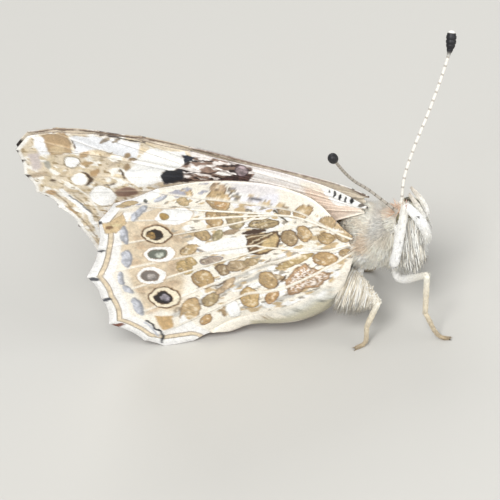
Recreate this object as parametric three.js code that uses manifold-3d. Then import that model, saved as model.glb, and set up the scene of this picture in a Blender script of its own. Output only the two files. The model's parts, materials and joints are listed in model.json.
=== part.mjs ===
// A painted lady butterfly at rest: wings closed over the back, head raised, one brush-foot lifted.
// Millimetres, +X towards the head, +Y to the animal's left, +Z up, the floor at the lowest point.
import * as THREE from 'three';
import { mergeVertices } from 'three/addons/utils/BufferGeometryUtils.js';
import Module from 'manifold-3d';

const wasm = await Module();
wasm.setup();

// Driving dimensions of the body
const GAP = 0.28;
const SHORTEST_EDGE = 0.004;
const DEGREE = Math.PI / 180;
const THORAX = { centre: [0.74, 0, 8.45], length: 6.0, width: 5.2, height: 6.2, pitch: 30 };
const CHEST = { centre: [3.0, 0, 6.4], length: 3.5, width: 3.7, height: 3.9, pitch: 0 };
const HEAD = { centre: [4.3, 0, 9.6], length: 2.3, width: 2.3, height: 2.4, pitch: 35, yaw: -10 };
const EYE = { forward: 0.3, side: 0.88, up: 0.05, length: 1.6, width: 1.35, height: 1.9 };
const ABDOMEN = { length: 12.4, radius: 1.95, segments: 9, pitch: 27, droop: 4, groove: 0.12 };
const PALP = { rootForward: 0.3, rootSide: 0.45, rootDown: 1.0, thickness: 0.6 };
const ANTENNA = { length: 14.7, shaft: 0.27, club: 0.5, clubLength: 2.4 };

// The line of each feeler beyond its socket, as [x, y, z]
const ANTENNA_LINES = {
  right: [[2.35, -0.73, 13.58], [1.78, -1.77, 15.82], [1.67, -3.02, 18.15], [1.93, -4.86, 21.11],
    [2.32, -6.36, 23.02]],
  left: [[4.56, 1.88, 12.04], [5.72, 3.58, 13.67], [7.56, 5.99, 15.79], [9.45, 8.69, 18.33],
    [10.04, 9.95, 19.77]],
};

// Driving dimensions of the wings. The left hindwing is drawn in a little, so that the right one covers it
const WING = { thickness: 0.5, edge: 0.42, vein: 0.13, veinWidth: 0.24, closest: 0.24 };
const FOREWING = { layer: 0.39, spread: 0.35, root: [2.0, 11.3], rows: 9, leftReach: 1 };
const HINDWING = { layer: 1.2, spread: 1.2, root: [0.45, 9.7], rows: 10, leftReach: 0.978 };
const FLARE = { inner: 0.8, outer: 2.2 };

// Veins in the plane of the closed wings, as [x, z]: where each leaves its stem, and where it ends.
// A cell's scallop is how far the margin dips before the next vein.
const FOREWING_FRONT = [[0, 13.6], [-3.5, 16.0], [-7.2, 18.05], [-10.3, 19.9]];
const FOREWING_VEINS = [
  { name: 'subcosta', end: [-11.0, 20.28], scallop: 0 },
  { name: 'radius 1', stem: [-7.0, 16.2], end: [-14.6, 22.2], scallop: 0 },
  { name: 'radius 2', stem: [-9.4, 17.3], end: [-17.9, 23.5], scallop: 0 },
  { name: 'radius 3', stem: [-16.6, 20.6], end: [-20.9, 24.35], scallop: 0 },
  { name: 'radius 4', stem: [-19.6, 22.0], end: [-23.3, 24.4], scallop: 0 },
  { name: 'radius 5', stem: [-19.6, 21.9], end: [-24.6, 23.2], scallop: 0.18 },
  { name: 'media 1', stem: [-10.2, 17.1], end: [-24.75, 20.4], scallop: 0.3 },
  { name: 'media 2', stem: [-10.9, 16.0], end: [-24.4, 18.2], scallop: 0.45 },
  { name: 'media 3', stem: [-10.4, 14.5], end: [-23.1, 16.2], scallop: 0.4 },
  { name: 'cubitus 1', stem: [-8.6, 13.6], end: [-22.1, 13.9], scallop: 0.08 },
  { name: 'cubitus 2', stem: [-4.6, 12.6], end: [-21.4, 11.0], scallop: 0.3 },
  { name: 'anal 2', end: [-20.6, 8.3], scallop: 0 },
];
const FOREWING_BACK = [[-1.2, 10.95], [-4.0, 10.05], [-8.0, 9.25], [-14.0, 8.5], [-19.9, 7.9]];
const HINDWING_FRONT = [[-1.5, 13.2], [-4.5, 15.8], [-8.0, 17.0], [-11.0, 17.6], [-14.0, 17.4]];
const HINDWING_VEINS = [
  { name: 'subcosta and radius 1', stem: [-3.0, 12.6], end: [-14.9, 17.2], scallop: 0.1 },
  { name: 'radial sector', stem: [-4.6, 12.4], end: [-18.3, 16.4], scallop: 0.1 },
  { name: 'media 1', stem: [-7.4, 12.9], end: [-20.1, 14.7], scallop: 0.15 },
  { name: 'media 2', stem: [-7.8, 12.5], end: [-21.0, 11.8], scallop: 0.2 },
  { name: 'media 3', stem: [-8.6, 10.0], end: [-22.8, 8.9], scallop: 0.25 },
  { name: 'cubitus 1', stem: [-7.6, 9.3], end: [-22.35, 6.35], scallop: 0.25 },
  { name: 'cubitus 2', stem: [-4.8, 8.5], end: [-22.6, 3.3], scallop: 0.35 },
  { name: 'anal 2', stem: [-3.4, 7.2], end: [-20.3, 0.9], scallop: 0 },
  { name: 'resting edge, rear', end: [-18.9, 0], bare: true, scallop: 0 },
  { name: 'resting edge, front', end: [-16.3, 0], bare: true, scallop: 0.15 },
  { name: 'anal 3', stem: [-2.6, 5.6], end: [-14.7, 0.95], scallop: 0 },
];
const HINDWING_BACK = [[-1.7, 5.7], [-3.2, 3.4], [-4.9, 1.75], [-8.0, 1.5], [-11.0, 1.35], [-13.0, 0.55],
  [-14.2, 0.8]];

// Leg joints as [x, distance from the middle, z]. The right foreleg is lifted to the face, the left one folded
const LEG = { femur: 0.4, knee: 0.3, ankle: 0.26, toe: 0.26 };
const MID_LEGS = {
  right: { coxa: [2.3, 1.0, 6.2], trochanter: [2.45, 1.85, 4.6], knee: [5.44, 4.0, 6.6], ankle: [4.3, 4.45, 2.9],
    heel: [4.7, 4.65, 0.5], toe: [5.6, 4.9, 0.1] },
  left: { coxa: [2.3, 1.0, 6.2], trochanter: [2.2, 1.75, 4.9], knee: [3.0, 3.6, 6.7], ankle: [2.3, 4.2, 2.9],
    heel: [2.2, 4.45, 0.5], toe: [2.8, 4.8, 0.1] },
};
const HIND_FRINGE = { tips: [[-0.7, 3.3, 3.1], [-2.2, 2.9, 2.35], [-3.6, 2.65, 2.6]], thickness: 0.5 };
const HIND_LEG = { coxa: [-0.3, 0.9, 6.2], trochanter: [-0.9, 1.55, 4.85], knee: [0.62, 3.6, 4.0],
  ankle: [-0.9, 4.0, 1.9], heel: [-1.45, 4.25, 0.4], toe: [-2.35, 4.5, 0.1], fringe: HIND_FRINGE.tips };
const FORELEGS = {
  right: { coxa: [2.7, 1.0, 7.4], trochanter: [2.85, 2.75, 7.35], knee: [5.3, 2.4, 13.05], tip: [5.95, 2.3, 8.8] },
  left: { coxa: [2.7, 1.0, 7.4], trochanter: [2.8, 2.0, 6.4], knee: [4.7, 2.2, 8.2], tip: [4.0, 2.4, 5.4] },
};

const paint = (color, roughness) => new THREE.MeshStandardMaterial({ color, roughness, metalness: 0 });
const FUR = paint(0xc9b79a, 0.9);
const SCALES = paint(0xd8c6ac, 0.85);
const UPPER_SCALES = paint(0xb59a78, 0.85);
const EYE_SHELL = paint(0x6f6a50, 0.35);
const HORN = paint(0xe6dcc8, 0.6);

const vector = (list) => new THREE.Vector3(...list);
const smooth = (value, low, high) => THREE.MathUtils.smoothstep(value, low, high);

// Solids and cuts

function solidOf(geometry) {
  const plain = geometry.clone();
  plain.deleteAttribute('normal');
  plain.deleteAttribute('uv');
  const merged = mergeVertices(plain, 1e-5);
  return new wasm.Manifold(new wasm.Mesh({
    numProp: 3,
    vertProperties: new Float32Array(merged.attributes.position.array),
    triVerts: new Uint32Array(merged.index.array),
  }));
}

function geometryOf(solid) {
  const pieces = solid.decompose();
  const largest = pieces.reduce((best, piece) => (piece.volume() > best.volume() ? piece : best));
  const mesh = largest.asOriginal().simplify(SHORTEST_EDGE).getMesh();
  const geometry = new THREE.BufferGeometry();
  geometry.setAttribute('position', new THREE.BufferAttribute(new Float32Array(mesh.vertProperties), 3));
  geometry.setIndex(new THREE.BufferAttribute(new Uint32Array(mesh.triVerts), 1));
  geometry.computeVertexNormals();
  return geometry;
}

function carve(solid, clearances) {
  return clearances.reduce((rest, clearance) => rest.subtract(clearance), solid);
}

// Round forms

function ellipsoid(form, grow, across, around) {
  const geometry = new THREE.SphereGeometry(1, around, across);
  geometry.rotateX(Math.PI / 2);
  geometry.rotateZ(Math.PI / 2);
  geometry.scale(form.length / 2 + grow, form.width / 2 + grow, form.height / 2 + grow);
  return geometry;
}

function placeOn(geometry, carrier) {
  geometry.rotateY(-carrier.pitch * DEGREE);
  geometry.rotateZ((carrier.yaw ?? 0) * DEGREE);
  geometry.translate(...carrier.centre);
  return geometry;
}

function pointOn(carrier, forward, side, up) {
  const point = new THREE.Vector3(forward, side, up);
  point.applyAxisAngle(new THREE.Vector3(0, 1, 0), -carrier.pitch * DEGREE);
  point.applyAxisAngle(new THREE.Vector3(0, 0, 1), (carrier.yaw ?? 0) * DEGREE);
  return point.add(vector(carrier.centre));
}

// A round form along a curve, flat where it meets the floor. radii holds [along, radius] pairs from 0 to 1,
// and grow thickens it all over.
function limb(points, radii, { steps = 8, sides = 7, grow = 0, tension = 0.5 } = {}) {
  const curve = new THREE.CatmullRomCurve3(points.map((p) => (p.isVector3 ? p : vector(p))), false,
    'catmullrom', tension);
  const radiusAt = (along) => {
    const next = radii.findIndex(([place]) => place >= along);
    if (next <= 0) return radii[Math.max(next, 0)][1];
    const [from, small] = radii[next - 1];
    const [to, large] = radii[next];
    return small + (large - small) * (along - from) / (to - from);
  };
  const { normals, binormals } = curve.computeFrenetFrames(steps, false);
  const positions = [];
  const index = [];
  for (let step = 0; step <= steps; step += 1) {
    const along = step / steps;
    const centre = curve.getPointAt(along);
    const outward = curve.getTangentAt(along).multiplyScalar(step === 0 ? -grow : step === steps ? grow : 0);
    for (let side = 0; side < sides; side += 1) {
      const turn = side / sides * 2 * Math.PI;
      const reach = radiusAt(along) + grow;
      const point = centre.clone().add(outward)
        .addScaledVector(normals[step], Math.cos(turn) * reach)
        .addScaledVector(binormals[step], Math.sin(turn) * reach);
      positions.push(point.x, point.y, Math.max(point.z, -grow));
    }
  }
  for (let step = 0; step < steps; step += 1) {
    for (let side = 0; side < sides; side += 1) {
      const a = step * sides + side;
      const b = step * sides + (side + 1) % sides;
      index.push(a, b, a + sides, b, b + sides, a + sides);
    }
  }
  for (const [ring, turn] of [[0, 1], [steps * sides, -1]]) {
    for (let side = 1; side < sides - 1; side += 1) {
      index.push(...(turn > 0 ? [ring, ring + side + 1, ring + side] : [ring, ring + side, ring + side + 1]));
    }
  }
  const geometry = new THREE.BufferGeometry();
  geometry.setAttribute('position', new THREE.BufferAttribute(new Float32Array(positions), 3));
  geometry.setIndex(index);
  return geometry;
}

// Wings

function sheetSide(wing, x, z) {
  const [cx, , cz] = THORAX.centre;
  const turn = THORAX.pitch * DEGREE;
  const along = (x - cx) * Math.cos(turn) + (z - cz) * Math.sin(turn);
  const up = -(x - cx) * Math.sin(turn) + (z - cz) * Math.cos(turn);
  const nearness = Math.hypot(along / (THORAX.length / 2), up / (THORAX.height / 2));
  const flare = wing.spread * (1 - smooth(nearness, FLARE.inner, FLARE.outer));
  if (wing !== HINDWING) return wing.layer + flare;
  const share = (abdomenAxis[0].x - x) / (abdomenAxis[0].x - abdomenAxis.at(-1).x);
  const within = THREE.MathUtils.clamp(share, 0, 1);
  const radius = abdomenRadius(within);
  const distance = Math.abs(z - abdomenCurve.getPoint(within).z) * Math.cos(ABDOMEN.pitch * DEGREE);
  const bulge = (radius + GAP + WING.thickness / 2 + 0.12 - wing.layer)
    * (1 - smooth(distance, 0.5 * radius, 2.2 * radius)) * (1 - smooth(share, 0.93, 1.15));
  return wing.layer + (flare ** 4 + Math.max(bulge, 0) ** 4) ** 0.25;
}

function abdomenPoints() {
  const start = pointOn(THORAX, -THORAX.length / 2 + 1.0, 0, -0.35);
  const points = [start];
  const count = 4;
  for (let step = 1; step <= count; step += 1) {
    const slope = (ABDOMEN.pitch - ABDOMEN.droop * step / count) * DEGREE;
    const last = points.at(-1);
    const length = ABDOMEN.length / count;
    points.push(new THREE.Vector3(last.x - length * Math.cos(slope), 0, last.z - length * Math.sin(slope)));
  }
  return points;
}

const abdomenAxis = abdomenPoints();
const abdomenCurve = new THREE.CatmullRomCurve3(abdomenAxis);

function abdomenRadius(along) {
  const front = smooth(along, -0.1, 0.3) * 0.35 + 0.65;
  const rear = 1 - 0.78 * smooth(along, 0.45, 1.08) ** 1.15;
  return ABDOMEN.radius * front * rear;
}

// The point of a vein at a given distance from the wing's root
function atRadius(path, root, radius) {
  let before = root;
  for (const knot of path) {
    const reach = Math.hypot(knot[0] - root[0], knot[1] - root[1]);
    const start = Math.hypot(before[0] - root[0], before[1] - root[1]);
    if (radius <= reach + 1e-9) {
      const dx = knot[0] - before[0];
      const dz = knot[1] - before[1];
      const px = before[0] - root[0];
      const pz = before[1] - root[1];
      const a = dx * dx + dz * dz;
      const b = 2 * (px * dx + pz * dz);
      const c = start * start - radius * radius;
      const share = (-b + Math.sqrt(Math.max(b * b - 4 * a * c, 0))) / (2 * a);
      return [before[0] + dx * share, before[1] + dz * share];
    }
    before = knot;
  }
  return path.at(-1);
}

function distance(a, b) {
  return Math.hypot(a[0] - b[0], a[1] - b[1]);
}

function between(a, b, share) {
  return [a[0] + (b[0] - a[0]) * share, a[1] + (b[1] - a[1]) * share];
}

// The lines that run from a wing's root to its margin: the front edge, the veins and the back edge
function linesOf(front, veins, back) {
  return [
    { path: front, ridge: true, scallop: 0 },
    ...veins.map(({ stem, end, bare, scallop }) => ({ path: stem ? [stem, end] : [end], ridge: !bare, scallop })),
    { path: back, ridge: false, scallop: 0 },
  ];
}

// Angles of the lines at one row, kept apart where veins share a stem
function spreadOut(angles, radius) {
  const last = angles.length - 1;
  const least = Math.min(WING.closest / radius, 0.8 * (angles[last] - angles[0]) / last);
  const up = [...angles];
  const down = [...angles];
  for (let place = 1; place <= last; place += 1) {
    up[place] = Math.max(up[place], up[place - 1] + least);
    down[last - place] = Math.min(down[last - place], down[last - place + 1] - least);
  }
  return angles.map((angle, place) => (place % last === 0 ? angle : (up[place] + down[place]) / 2));
}

// One row across a wing: on each vein its crest, beside it the feet of its ridge, and the middle of each cell
function rowOf(wing, lines, share) {
  const reaches = lines.map((line) => distance(line.path.at(-1), wing.root) * share);
  const angles = lines.map((line, place) => {
    const [x, z] = atRadius(line.path, wing.root, reaches[place]);
    return (Math.atan2(z - wing.root[1], x - wing.root[0]) + 2 * Math.PI) % (2 * Math.PI);
  });
  const spread = spreadOut(angles, Math.max(...reaches) * 0.8);
  const crests = spread.map((angle, place) => [wing.root[0] + reaches[place] * Math.cos(angle),
    wing.root[1] + reaches[place] * Math.sin(angle)]);
  const row = [];
  crests.forEach((crest, place) => {
    row.push({ point: crest, crest: lines[place].ridge });
    if (place === crests.length - 1) return;
    const next = crests[place + 1];
    const chord = between(crest, next, 0.5);
    const dip = lines[place].scallop * share ** 3 / distance(chord, wing.root);
    const middle = between(chord, wing.root, dip);
    const foot = (from) => between(from, middle, Math.min(0.5, WING.veinWidth / distance(from, middle)));
    if (lines[place].ridge) row.push({ point: foot(crest) });
    row.push({ point: middle });
    if (lines[place + 1].ridge) row.push({ point: foot(next) });
  });
  const veins = row.filter((spot) => spot.crest).map((spot) => spot.point);
  return row.map(({ point }) => {
    const nearest = Math.min(...veins.map((vein) => distance(vein, point)));
    return { x: point[0], z: point[1], ridge: WING.vein * Math.max(0, 1 - nearest / WING.veinWidth) };
  });
}

// A closed sheet of the wing's thickness: the same triangles on both faces, the ridges on the outer one
function wingGeometry(wing, front, veins, back, side) {
  const lines = linesOf(front, veins, back);
  const reach = side > 0 ? wing.leftReach : 1;
  const outer = [];
  const inner = [];
  let across = 0;
  for (let step = 0; step <= wing.rows; step += 1) {
    const row = rowOf(wing, lines, 0.035 + 0.965 * (step / wing.rows) ** 0.9);
    across = row.length;
    row.forEach(({ x: drawn, z, ridge }, place) => {
      const x = wing.root[0] + (drawn - wing.root[0]) * reach;
      const nudge = 0.05;
      const slopeX = (sheetSide(wing, x + nudge, z) - sheetSide(wing, x - nudge, z)) / (2 * nudge);
      const slopeZ = (sheetSide(wing, x, z + nudge) - sheetSide(wing, x, z - nudge)) / (2 * nudge);
      const normal = new THREE.Vector3(-slopeX, 1, -slopeZ).normalize();
      const rim = step === wing.rows || place === across - 1;
      const half = (rim ? WING.edge : WING.thickness) / 2;
      const middle = new THREE.Vector3(x, sheetSide(wing, x, z), z);
      const ends = [middle.clone().addScaledVector(normal, half + ridge), middle.addScaledVector(normal, -half)];
      ends.forEach((end) => end.setZ(z < 0.02 ? 0 : Math.max(end.z, 0)));
      outer.push(ends[0]);
      inner.push(ends[1]);
    });
  }
  const index = [];
  const quad = (a, b, c, d) => (side > 0 ? index.push(a, b, c, a, c, d) : index.push(a, c, b, a, d, c));
  const under = outer.length;
  for (let step = 0; step < wing.rows; step += 1) {
    for (let place = 0; place < across - 1; place += 1) {
      const at = step * across + place;
      quad(at, at + 1, at + 1 + across, at + across);
      quad(under + at, under + at + across, under + at + 1 + across, under + at + 1);
    }
    const first = step * across;
    const last = first + across - 1;
    quad(first, first + across, under + first + across, under + first);
    quad(last + across, last, under + last, under + last + across);
  }
  for (let place = 0; place < across - 1; place += 1) {
    const rim = wing.rows * across + place;
    quad(place + 1, place, under + place, under + place + 1);
    quad(rim, rim + 1, under + rim + 1, under + rim);
  }
  const positions = [...outer, ...inner].flatMap((point) => [point.x, point.y * side, point.z]);
  const geometry = new THREE.BufferGeometry();
  geometry.setAttribute('position', new THREE.BufferAttribute(new Float32Array(positions), 3));
  geometry.setIndex(index);
  return geometry;
}

// The pieces

const butterfly = new THREE.Group();

function add(name, solid, material) {
  const mesh = new THREE.Mesh(geometryOf(solid), material);
  mesh.name = name;
  butterfly.add(mesh);
}

function thoraxForm(grow, across, around) {
  return solidOf(placeOn(ellipsoid(THORAX, grow, across, around), THORAX))
    .add(solidOf(placeOn(ellipsoid(CHEST, grow, across - 2, around - 4), CHEST)));
}

const thoraxRoom = thoraxForm(GAP, 12, 18);
const headRoom = solidOf(placeOn(ellipsoid(HEAD, GAP, 10, 14), HEAD));

function eyeForm(side, grow) {
  const eye = ellipsoid(EYE, grow, 10, 14);
  eye.translate(EYE.forward, EYE.side * side, EYE.up);
  return solidOf(placeOn(eye, HEAD));
}

function makeBody() {
  add('thorax', thoraxForm(0, 14, 22), FUR);
  const rings = ABDOMEN.segments * 3;
  const profile = [];
  for (let ring = 0; ring <= rings; ring += 1) {
    const along = ring / rings;
    const inSegment = (ring % 3) / 3;
    profile.push([along, abdomenRadius(along) - ABDOMEN.groove * inSegment * smooth(along, 0.05, 0.2)]);
  }
  profile[rings][1] = 0.25;
  const abdomen = limb(abdomenAxis, profile, { steps: rings, sides: 14 });
  add('abdomen', carve(solidOf(abdomen), [thoraxRoom]), FUR);
}

function makeHead() {
  const eyeRooms = [-1, 1].map((side) => eyeForm(side, GAP * 0.6));
  add('head', carve(solidOf(placeOn(ellipsoid(HEAD, 0, 12, 16), HEAD)), [thoraxRoom, ...eyeRooms]), FUR);
  for (const [name, side] of [['right', -1], ['left', 1]]) {
    add(`eye_${name}`, carve(eyeForm(side, 0), [thoraxRoom]), EYE_SHELL);
  }
}

function makePalps() {
  for (const [name, side] of [['right', -1], ['left', 1]]) {
    const out = PALP.rootSide * side;
    const points = [
      pointOn(HEAD, PALP.rootForward - 0.1, out, -PALP.rootDown - 0.1),
      pointOn(HEAD, PALP.rootForward + 0.9, out * 1.05, -PALP.rootDown + 0.1),
      pointOn(HEAD, PALP.rootForward + 1.65, out, 0.2),
      pointOn(HEAD, PALP.rootForward + 2.15, out * 0.8, 1.55),
    ];
    const radii = [[0, 0.3], [0.3, PALP.thickness / 2], [0.7, 0.34], [1, 0.16]];
    const palp = solidOf(limb(points, radii, { steps: 8, sides: 8 }));
    add(`palp_${name}`, carve(palp, [headRoom, eyeForm(-1, GAP), eyeForm(1, GAP)]), FUR);
  }
}

function makeAntennae() {
  for (const [name, side] of [['right', -1], ['left', 1]]) {
    const points = [pointOn(HEAD, 0.1, 0.4 * side, HEAD.height / 2 - 0.3), ...ANTENNA_LINES[name]];
    const clubStart = 1 - ANTENNA.clubLength / ANTENNA.length;
    const radii = [[0, 0.34], [0.05, ANTENNA.shaft], [clubStart, ANTENNA.shaft],
      [clubStart + 0.07, ANTENNA.club * 0.92], [0.95, ANTENNA.club], [1, 0.2]];
    const antenna = solidOf(limb(points, radii, { steps: 20 }));
    add(`antenna_${name}`, carve(antenna, [headRoom]), HORN);
  }
}

function makeWings() {
  for (const [name, side] of [['right', -1], ['left', 1]]) {
    const fore = wingGeometry(FOREWING, FOREWING_FRONT, FOREWING_VEINS, FOREWING_BACK, side);
    const hind = wingGeometry(HINDWING, HINDWING_FRONT, HINDWING_VEINS, HINDWING_BACK, side);
    add(`forewing_${name}`, carve(solidOf(fore), [thoraxRoom]), UPPER_SCALES);
    add(`hindwing_${name}`, carve(solidOf(hind), [thoraxRoom]), SCALES);
  }
}

function legPoint(point, side) {
  return new THREE.Vector3(point[0], point[1] * side, point[2]);
}

// The curtain of long hair that hangs from a femur, as a thin plate between its line and the hair's tips
function fringe(line, tips, side, grow) {
  const corners = [...line, ...tips].map((point) => legPoint(point, side));
  const normal = new THREE.Triangle(corners[0], corners[1], corners.at(-1)).getNormal(new THREE.Vector3());
  const half = HIND_FRINGE.thickness / 2 + grow;
  const faces = corners.flatMap((corner) => [corner.clone().addScaledVector(normal, half),
    corner.clone().addScaledVector(normal, -half)]);
  return wasm.Manifold.hull(faces.map((point) => point.toArray()));
}

// One leg in pieces that meet end to end: each is cut back from the one before it
function makeLeg(name, side, sections, rooms) {
  let before = [thoraxRoom, ...rooms];
  for (const [section, points, radii, tips] of sections) {
    const placed = points.map((point) => legPoint(point, side));
    const options = { steps: 4 * (points.length - 1), tension: 0.15 };
    const pieceOf = (grow) => {
      const plain = solidOf(limb(placed, radii, { ...options, grow }));
      return tips ? plain.add(fringe(points.slice(1), tips, side, grow)) : plain;
    };
    add(`${name}_${section}`, carve(pieceOf(0), before), HORN);
    before = [pieceOf(GAP), ...rooms];
  }
}

function makeLegs() {
  for (const [name, side] of [['right', -1], ['left', 1]]) {
    for (const [pair, leg] of [['mid', MID_LEGS[name]], ['hind', HIND_LEG]]) {
      makeLeg(`${pair}leg_${name}`, side, [
        ['femur', [leg.coxa, leg.trochanter, leg.knee], [[0, 0.5], [0.35, LEG.femur], [1, LEG.knee]], leg.fringe],
        ['tibia', [leg.knee, leg.ankle], [[0, LEG.knee], [1, LEG.ankle]]],
        ['tarsus', [leg.ankle, leg.heel, leg.toe], [[0, LEG.ankle], [1, LEG.toe]]],
      ], []);
    }
    const foreleg = FORELEGS[name];
    makeLeg(`foreleg_${name}`, side, [
      ['femur', [foreleg.coxa, foreleg.trochanter, foreleg.knee], [[0, 0.45], [0.3, 0.4], [1, 0.3]]],
      ['tibia', [foreleg.knee, foreleg.tip], [[0, 0.32], [0.6, 0.4], [1, 0.16]]],
    ], [eyeForm(side, GAP)]);
  }
}

makeBody();
makeHead();
makePalps();
makeAntennae();
makeWings();
makeLegs();

// The origin is the middle of the underside of the whole animal's box
const box = new THREE.Box3().setFromObject(butterfly);
butterfly.position.set(-(box.min.x + box.max.x) / 2, -(box.min.y + box.max.y) / 2, -box.min.z);

export default butterfly;
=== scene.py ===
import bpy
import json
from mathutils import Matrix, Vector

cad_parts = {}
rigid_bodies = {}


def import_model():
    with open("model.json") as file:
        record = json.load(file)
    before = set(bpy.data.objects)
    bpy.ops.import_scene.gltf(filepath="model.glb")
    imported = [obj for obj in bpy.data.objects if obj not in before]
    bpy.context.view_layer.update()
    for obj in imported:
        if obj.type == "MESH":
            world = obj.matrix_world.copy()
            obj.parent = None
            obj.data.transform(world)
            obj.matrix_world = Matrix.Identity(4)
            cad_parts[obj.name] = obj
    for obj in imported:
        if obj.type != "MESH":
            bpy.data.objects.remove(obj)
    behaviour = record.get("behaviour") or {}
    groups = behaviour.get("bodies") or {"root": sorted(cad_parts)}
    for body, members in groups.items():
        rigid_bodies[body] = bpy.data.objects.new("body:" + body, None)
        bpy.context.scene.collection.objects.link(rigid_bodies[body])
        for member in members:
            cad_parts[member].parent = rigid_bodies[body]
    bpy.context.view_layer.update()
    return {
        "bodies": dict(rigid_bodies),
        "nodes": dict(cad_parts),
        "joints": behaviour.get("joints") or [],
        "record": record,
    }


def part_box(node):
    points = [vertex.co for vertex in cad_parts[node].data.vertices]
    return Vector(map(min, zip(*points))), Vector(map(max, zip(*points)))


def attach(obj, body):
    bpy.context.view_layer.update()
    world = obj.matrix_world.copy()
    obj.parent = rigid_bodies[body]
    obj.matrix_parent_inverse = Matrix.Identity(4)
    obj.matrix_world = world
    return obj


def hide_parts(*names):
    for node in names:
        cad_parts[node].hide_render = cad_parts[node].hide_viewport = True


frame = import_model()

import json
import math

import bpy
import numpy as np
from mathutils import Matrix, Vector, noise

# Where the animal stands
# The drawing is in millimetres, x towards the head and z up from the floor, as the solids were drawn. The
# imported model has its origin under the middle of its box, so both are matched at two known places.

MM = 0.001
MIDDLE_VEIN_END = -22.8
STAND_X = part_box("hindwing_right")[0].x / MM - MIDDLE_VEIN_END
STAND_Y = (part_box("abdomen")[0].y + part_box("abdomen")[1].y) / 2 / MM


def smooth(value, low, high):
    share = np.clip((value - low) / (high - low), 0, 1)
    return share * share * (3 - 2 * share)


def colour_of(code):
    """sRGB hex to linear."""
    parts = np.array([int(code[place:place + 2], 16) / 255 for place in (0, 2, 4)])
    return np.where(parts <= 0.04045, parts / 12.92, ((parts + 0.055) / 1.055) ** 2.4)


def add_node(tree, kind, settings=(), links=()):
    """One node, its settings by property or socket name, and its links from other nodes' outputs."""
    node = tree.nodes.new(kind)
    for key, value in dict(settings).items():
        if isinstance(key, str) and hasattr(node, key):
            setattr(node, key, value)
        else:
            node.inputs[key].default_value = value
    for key, output in dict(links).items():
        tree.links.new(output, node.inputs[key])
    return node


def new_material(name):
    material = bpy.data.materials.new(name)
    material.use_nodes = True
    material.node_tree.nodes.clear()
    return material, material.node_tree


def make_piece(name, points, faces, material, nodes=(), colours=None, patches=None, flat=False):
    """A mesh in the model's frame from points in millimetres, with its colours and its bake map by corner."""
    mesh = bpy.data.meshes.new(name)
    placed = (np.asarray(points) + (STAND_X, STAND_Y, 0)) * MM
    mesh.from_pydata(placed.tolist(), [], faces if isinstance(faces, list) else faces.tolist())
    mesh.validate()
    if colours is not None:
        layer = mesh.color_attributes.new("markings", "FLOAT_COLOR", "POINT")
        rgba = np.ones((len(placed), 4), dtype=np.float32)
        rgba[:, :3] = colours
        layer.data.foreach_set("color", rgba.ravel())
    if patches is not None:
        corners = np.empty(len(mesh.loops), dtype=np.int32)
        mesh.loops.foreach_get("vertex_index", corners)
        layer = mesh.uv_layers.new(name="OFBake")
        layer.data.foreach_set("uv", np.asarray(patches, dtype=np.float32)[corners].ravel())
    mesh.polygons.foreach_set("use_smooth", [not flat] * len(mesh.polygons))
    mesh.materials.append(material)
    piece = bpy.data.objects.new(name, mesh)
    bpy.context.collection.objects.link(piece)
    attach(piece, "root")
    if nodes:
        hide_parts(*nodes)
    return piece


# Hindwings
# The real one is a membrane of a few hundredths of a millimetre on hollow veins, roofed on both sides with
# overlapping scales. Here it is a closed sheet with raised veins, drawn through the same lines as the solid.

THORAX = {"centre": (0.74, 0.0, 8.45), "length": 6.0, "width": 5.2, "height": 6.2, "pitch": 30}
ABDOMEN = {"start": (-0.817, 7.147), "length": 12.4, "radius": 1.95, "pitch": 27, "droop": 4}
SHEET = {"half": 0.075, "rim": 0.04, "vein": 0.045, "vein_width": 0.13, "closest": 0.24,
         "pleat": 0.06, "wave": 0.05}
HINDWING = {
    "layer": 0.98, "spread": 1.25, "root": (0.45, 9.7), "rows": 230, "column": 0.115, "left_reach": 0.978,
    "drawn_at": 1.2,
    "front": [(-1.5, 13.2), (-4.5, 15.8), (-8.0, 17.0), (-11.0, 17.6), (-14.0, 17.4)],
    "veins": [
        ([(-3.0, 12.6), (-14.9, 17.2)], 0.1), ([(-4.6, 12.4), (-18.3, 16.4)], 0.1),
        ([(-7.4, 12.9), (-20.1, 14.7)], 0.15), ([(-7.8, 12.5), (-21.0, 11.8)], 0.2),
        ([(-8.6, 10.0), (-22.8, 8.9)], 0.25), ([(-7.6, 9.3), (-22.35, 6.35)], 0.25),
        ([(-4.8, 8.5), (-22.6, 3.3)], 0.35), ([(-3.4, 7.2), (-20.3, 0.9)], 0),
        ([(-18.9, 0.0)], 0), ([(-16.3, 0.0)], 0.15), ([(-2.6, 5.6), (-14.7, 0.95)], 0),
    ],
    "back": [(-1.7, 5.7), (-3.2, 3.4), (-4.9, 1.75), (-8.0, 1.5), (-11.0, 1.35), (-13.0, 0.55), (-14.2, 0.8)],
    "ridges": [
        [(0.45, 9.7), (-3.0, 12.6), (-14.9, 17.2)], [(-0.5, 11.0), (-4.6, 12.4), (-18.3, 16.4)],
        [(-4.6, 12.4), (-7.4, 12.9), (-20.1, 14.7)], [(-7.4, 12.9), (-7.8, 12.5), (-21.0, 11.8)],
        [(0.45, 9.7), (-4.8, 8.7), (-7.6, 9.3), (-8.6, 10.0), (-22.8, 8.9)], [(-7.6, 9.3), (-22.35, 6.35)],
        [(-4.8, 8.5), (-22.6, 3.3)], [(0.45, 9.0), (-3.4, 7.2), (-20.3, 0.9)],
        [(0.2, 8.0), (-2.6, 5.6), (-14.7, 0.95)],
    ],
    "outer": (1, 10),
}


def abdomen_axis():
    """The abdomen's middle line, which droops a little towards its tip."""
    points, run = [ABDOMEN["start"]], ABDOMEN["length"] / 4
    for step in range(1, 5):
        slope = math.radians(ABDOMEN["pitch"] - ABDOMEN["droop"] * step / 4)
        x, z = points[-1]
        points.append((x - run * math.cos(slope), z - run * math.sin(slope)))
    return np.array(points)


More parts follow.
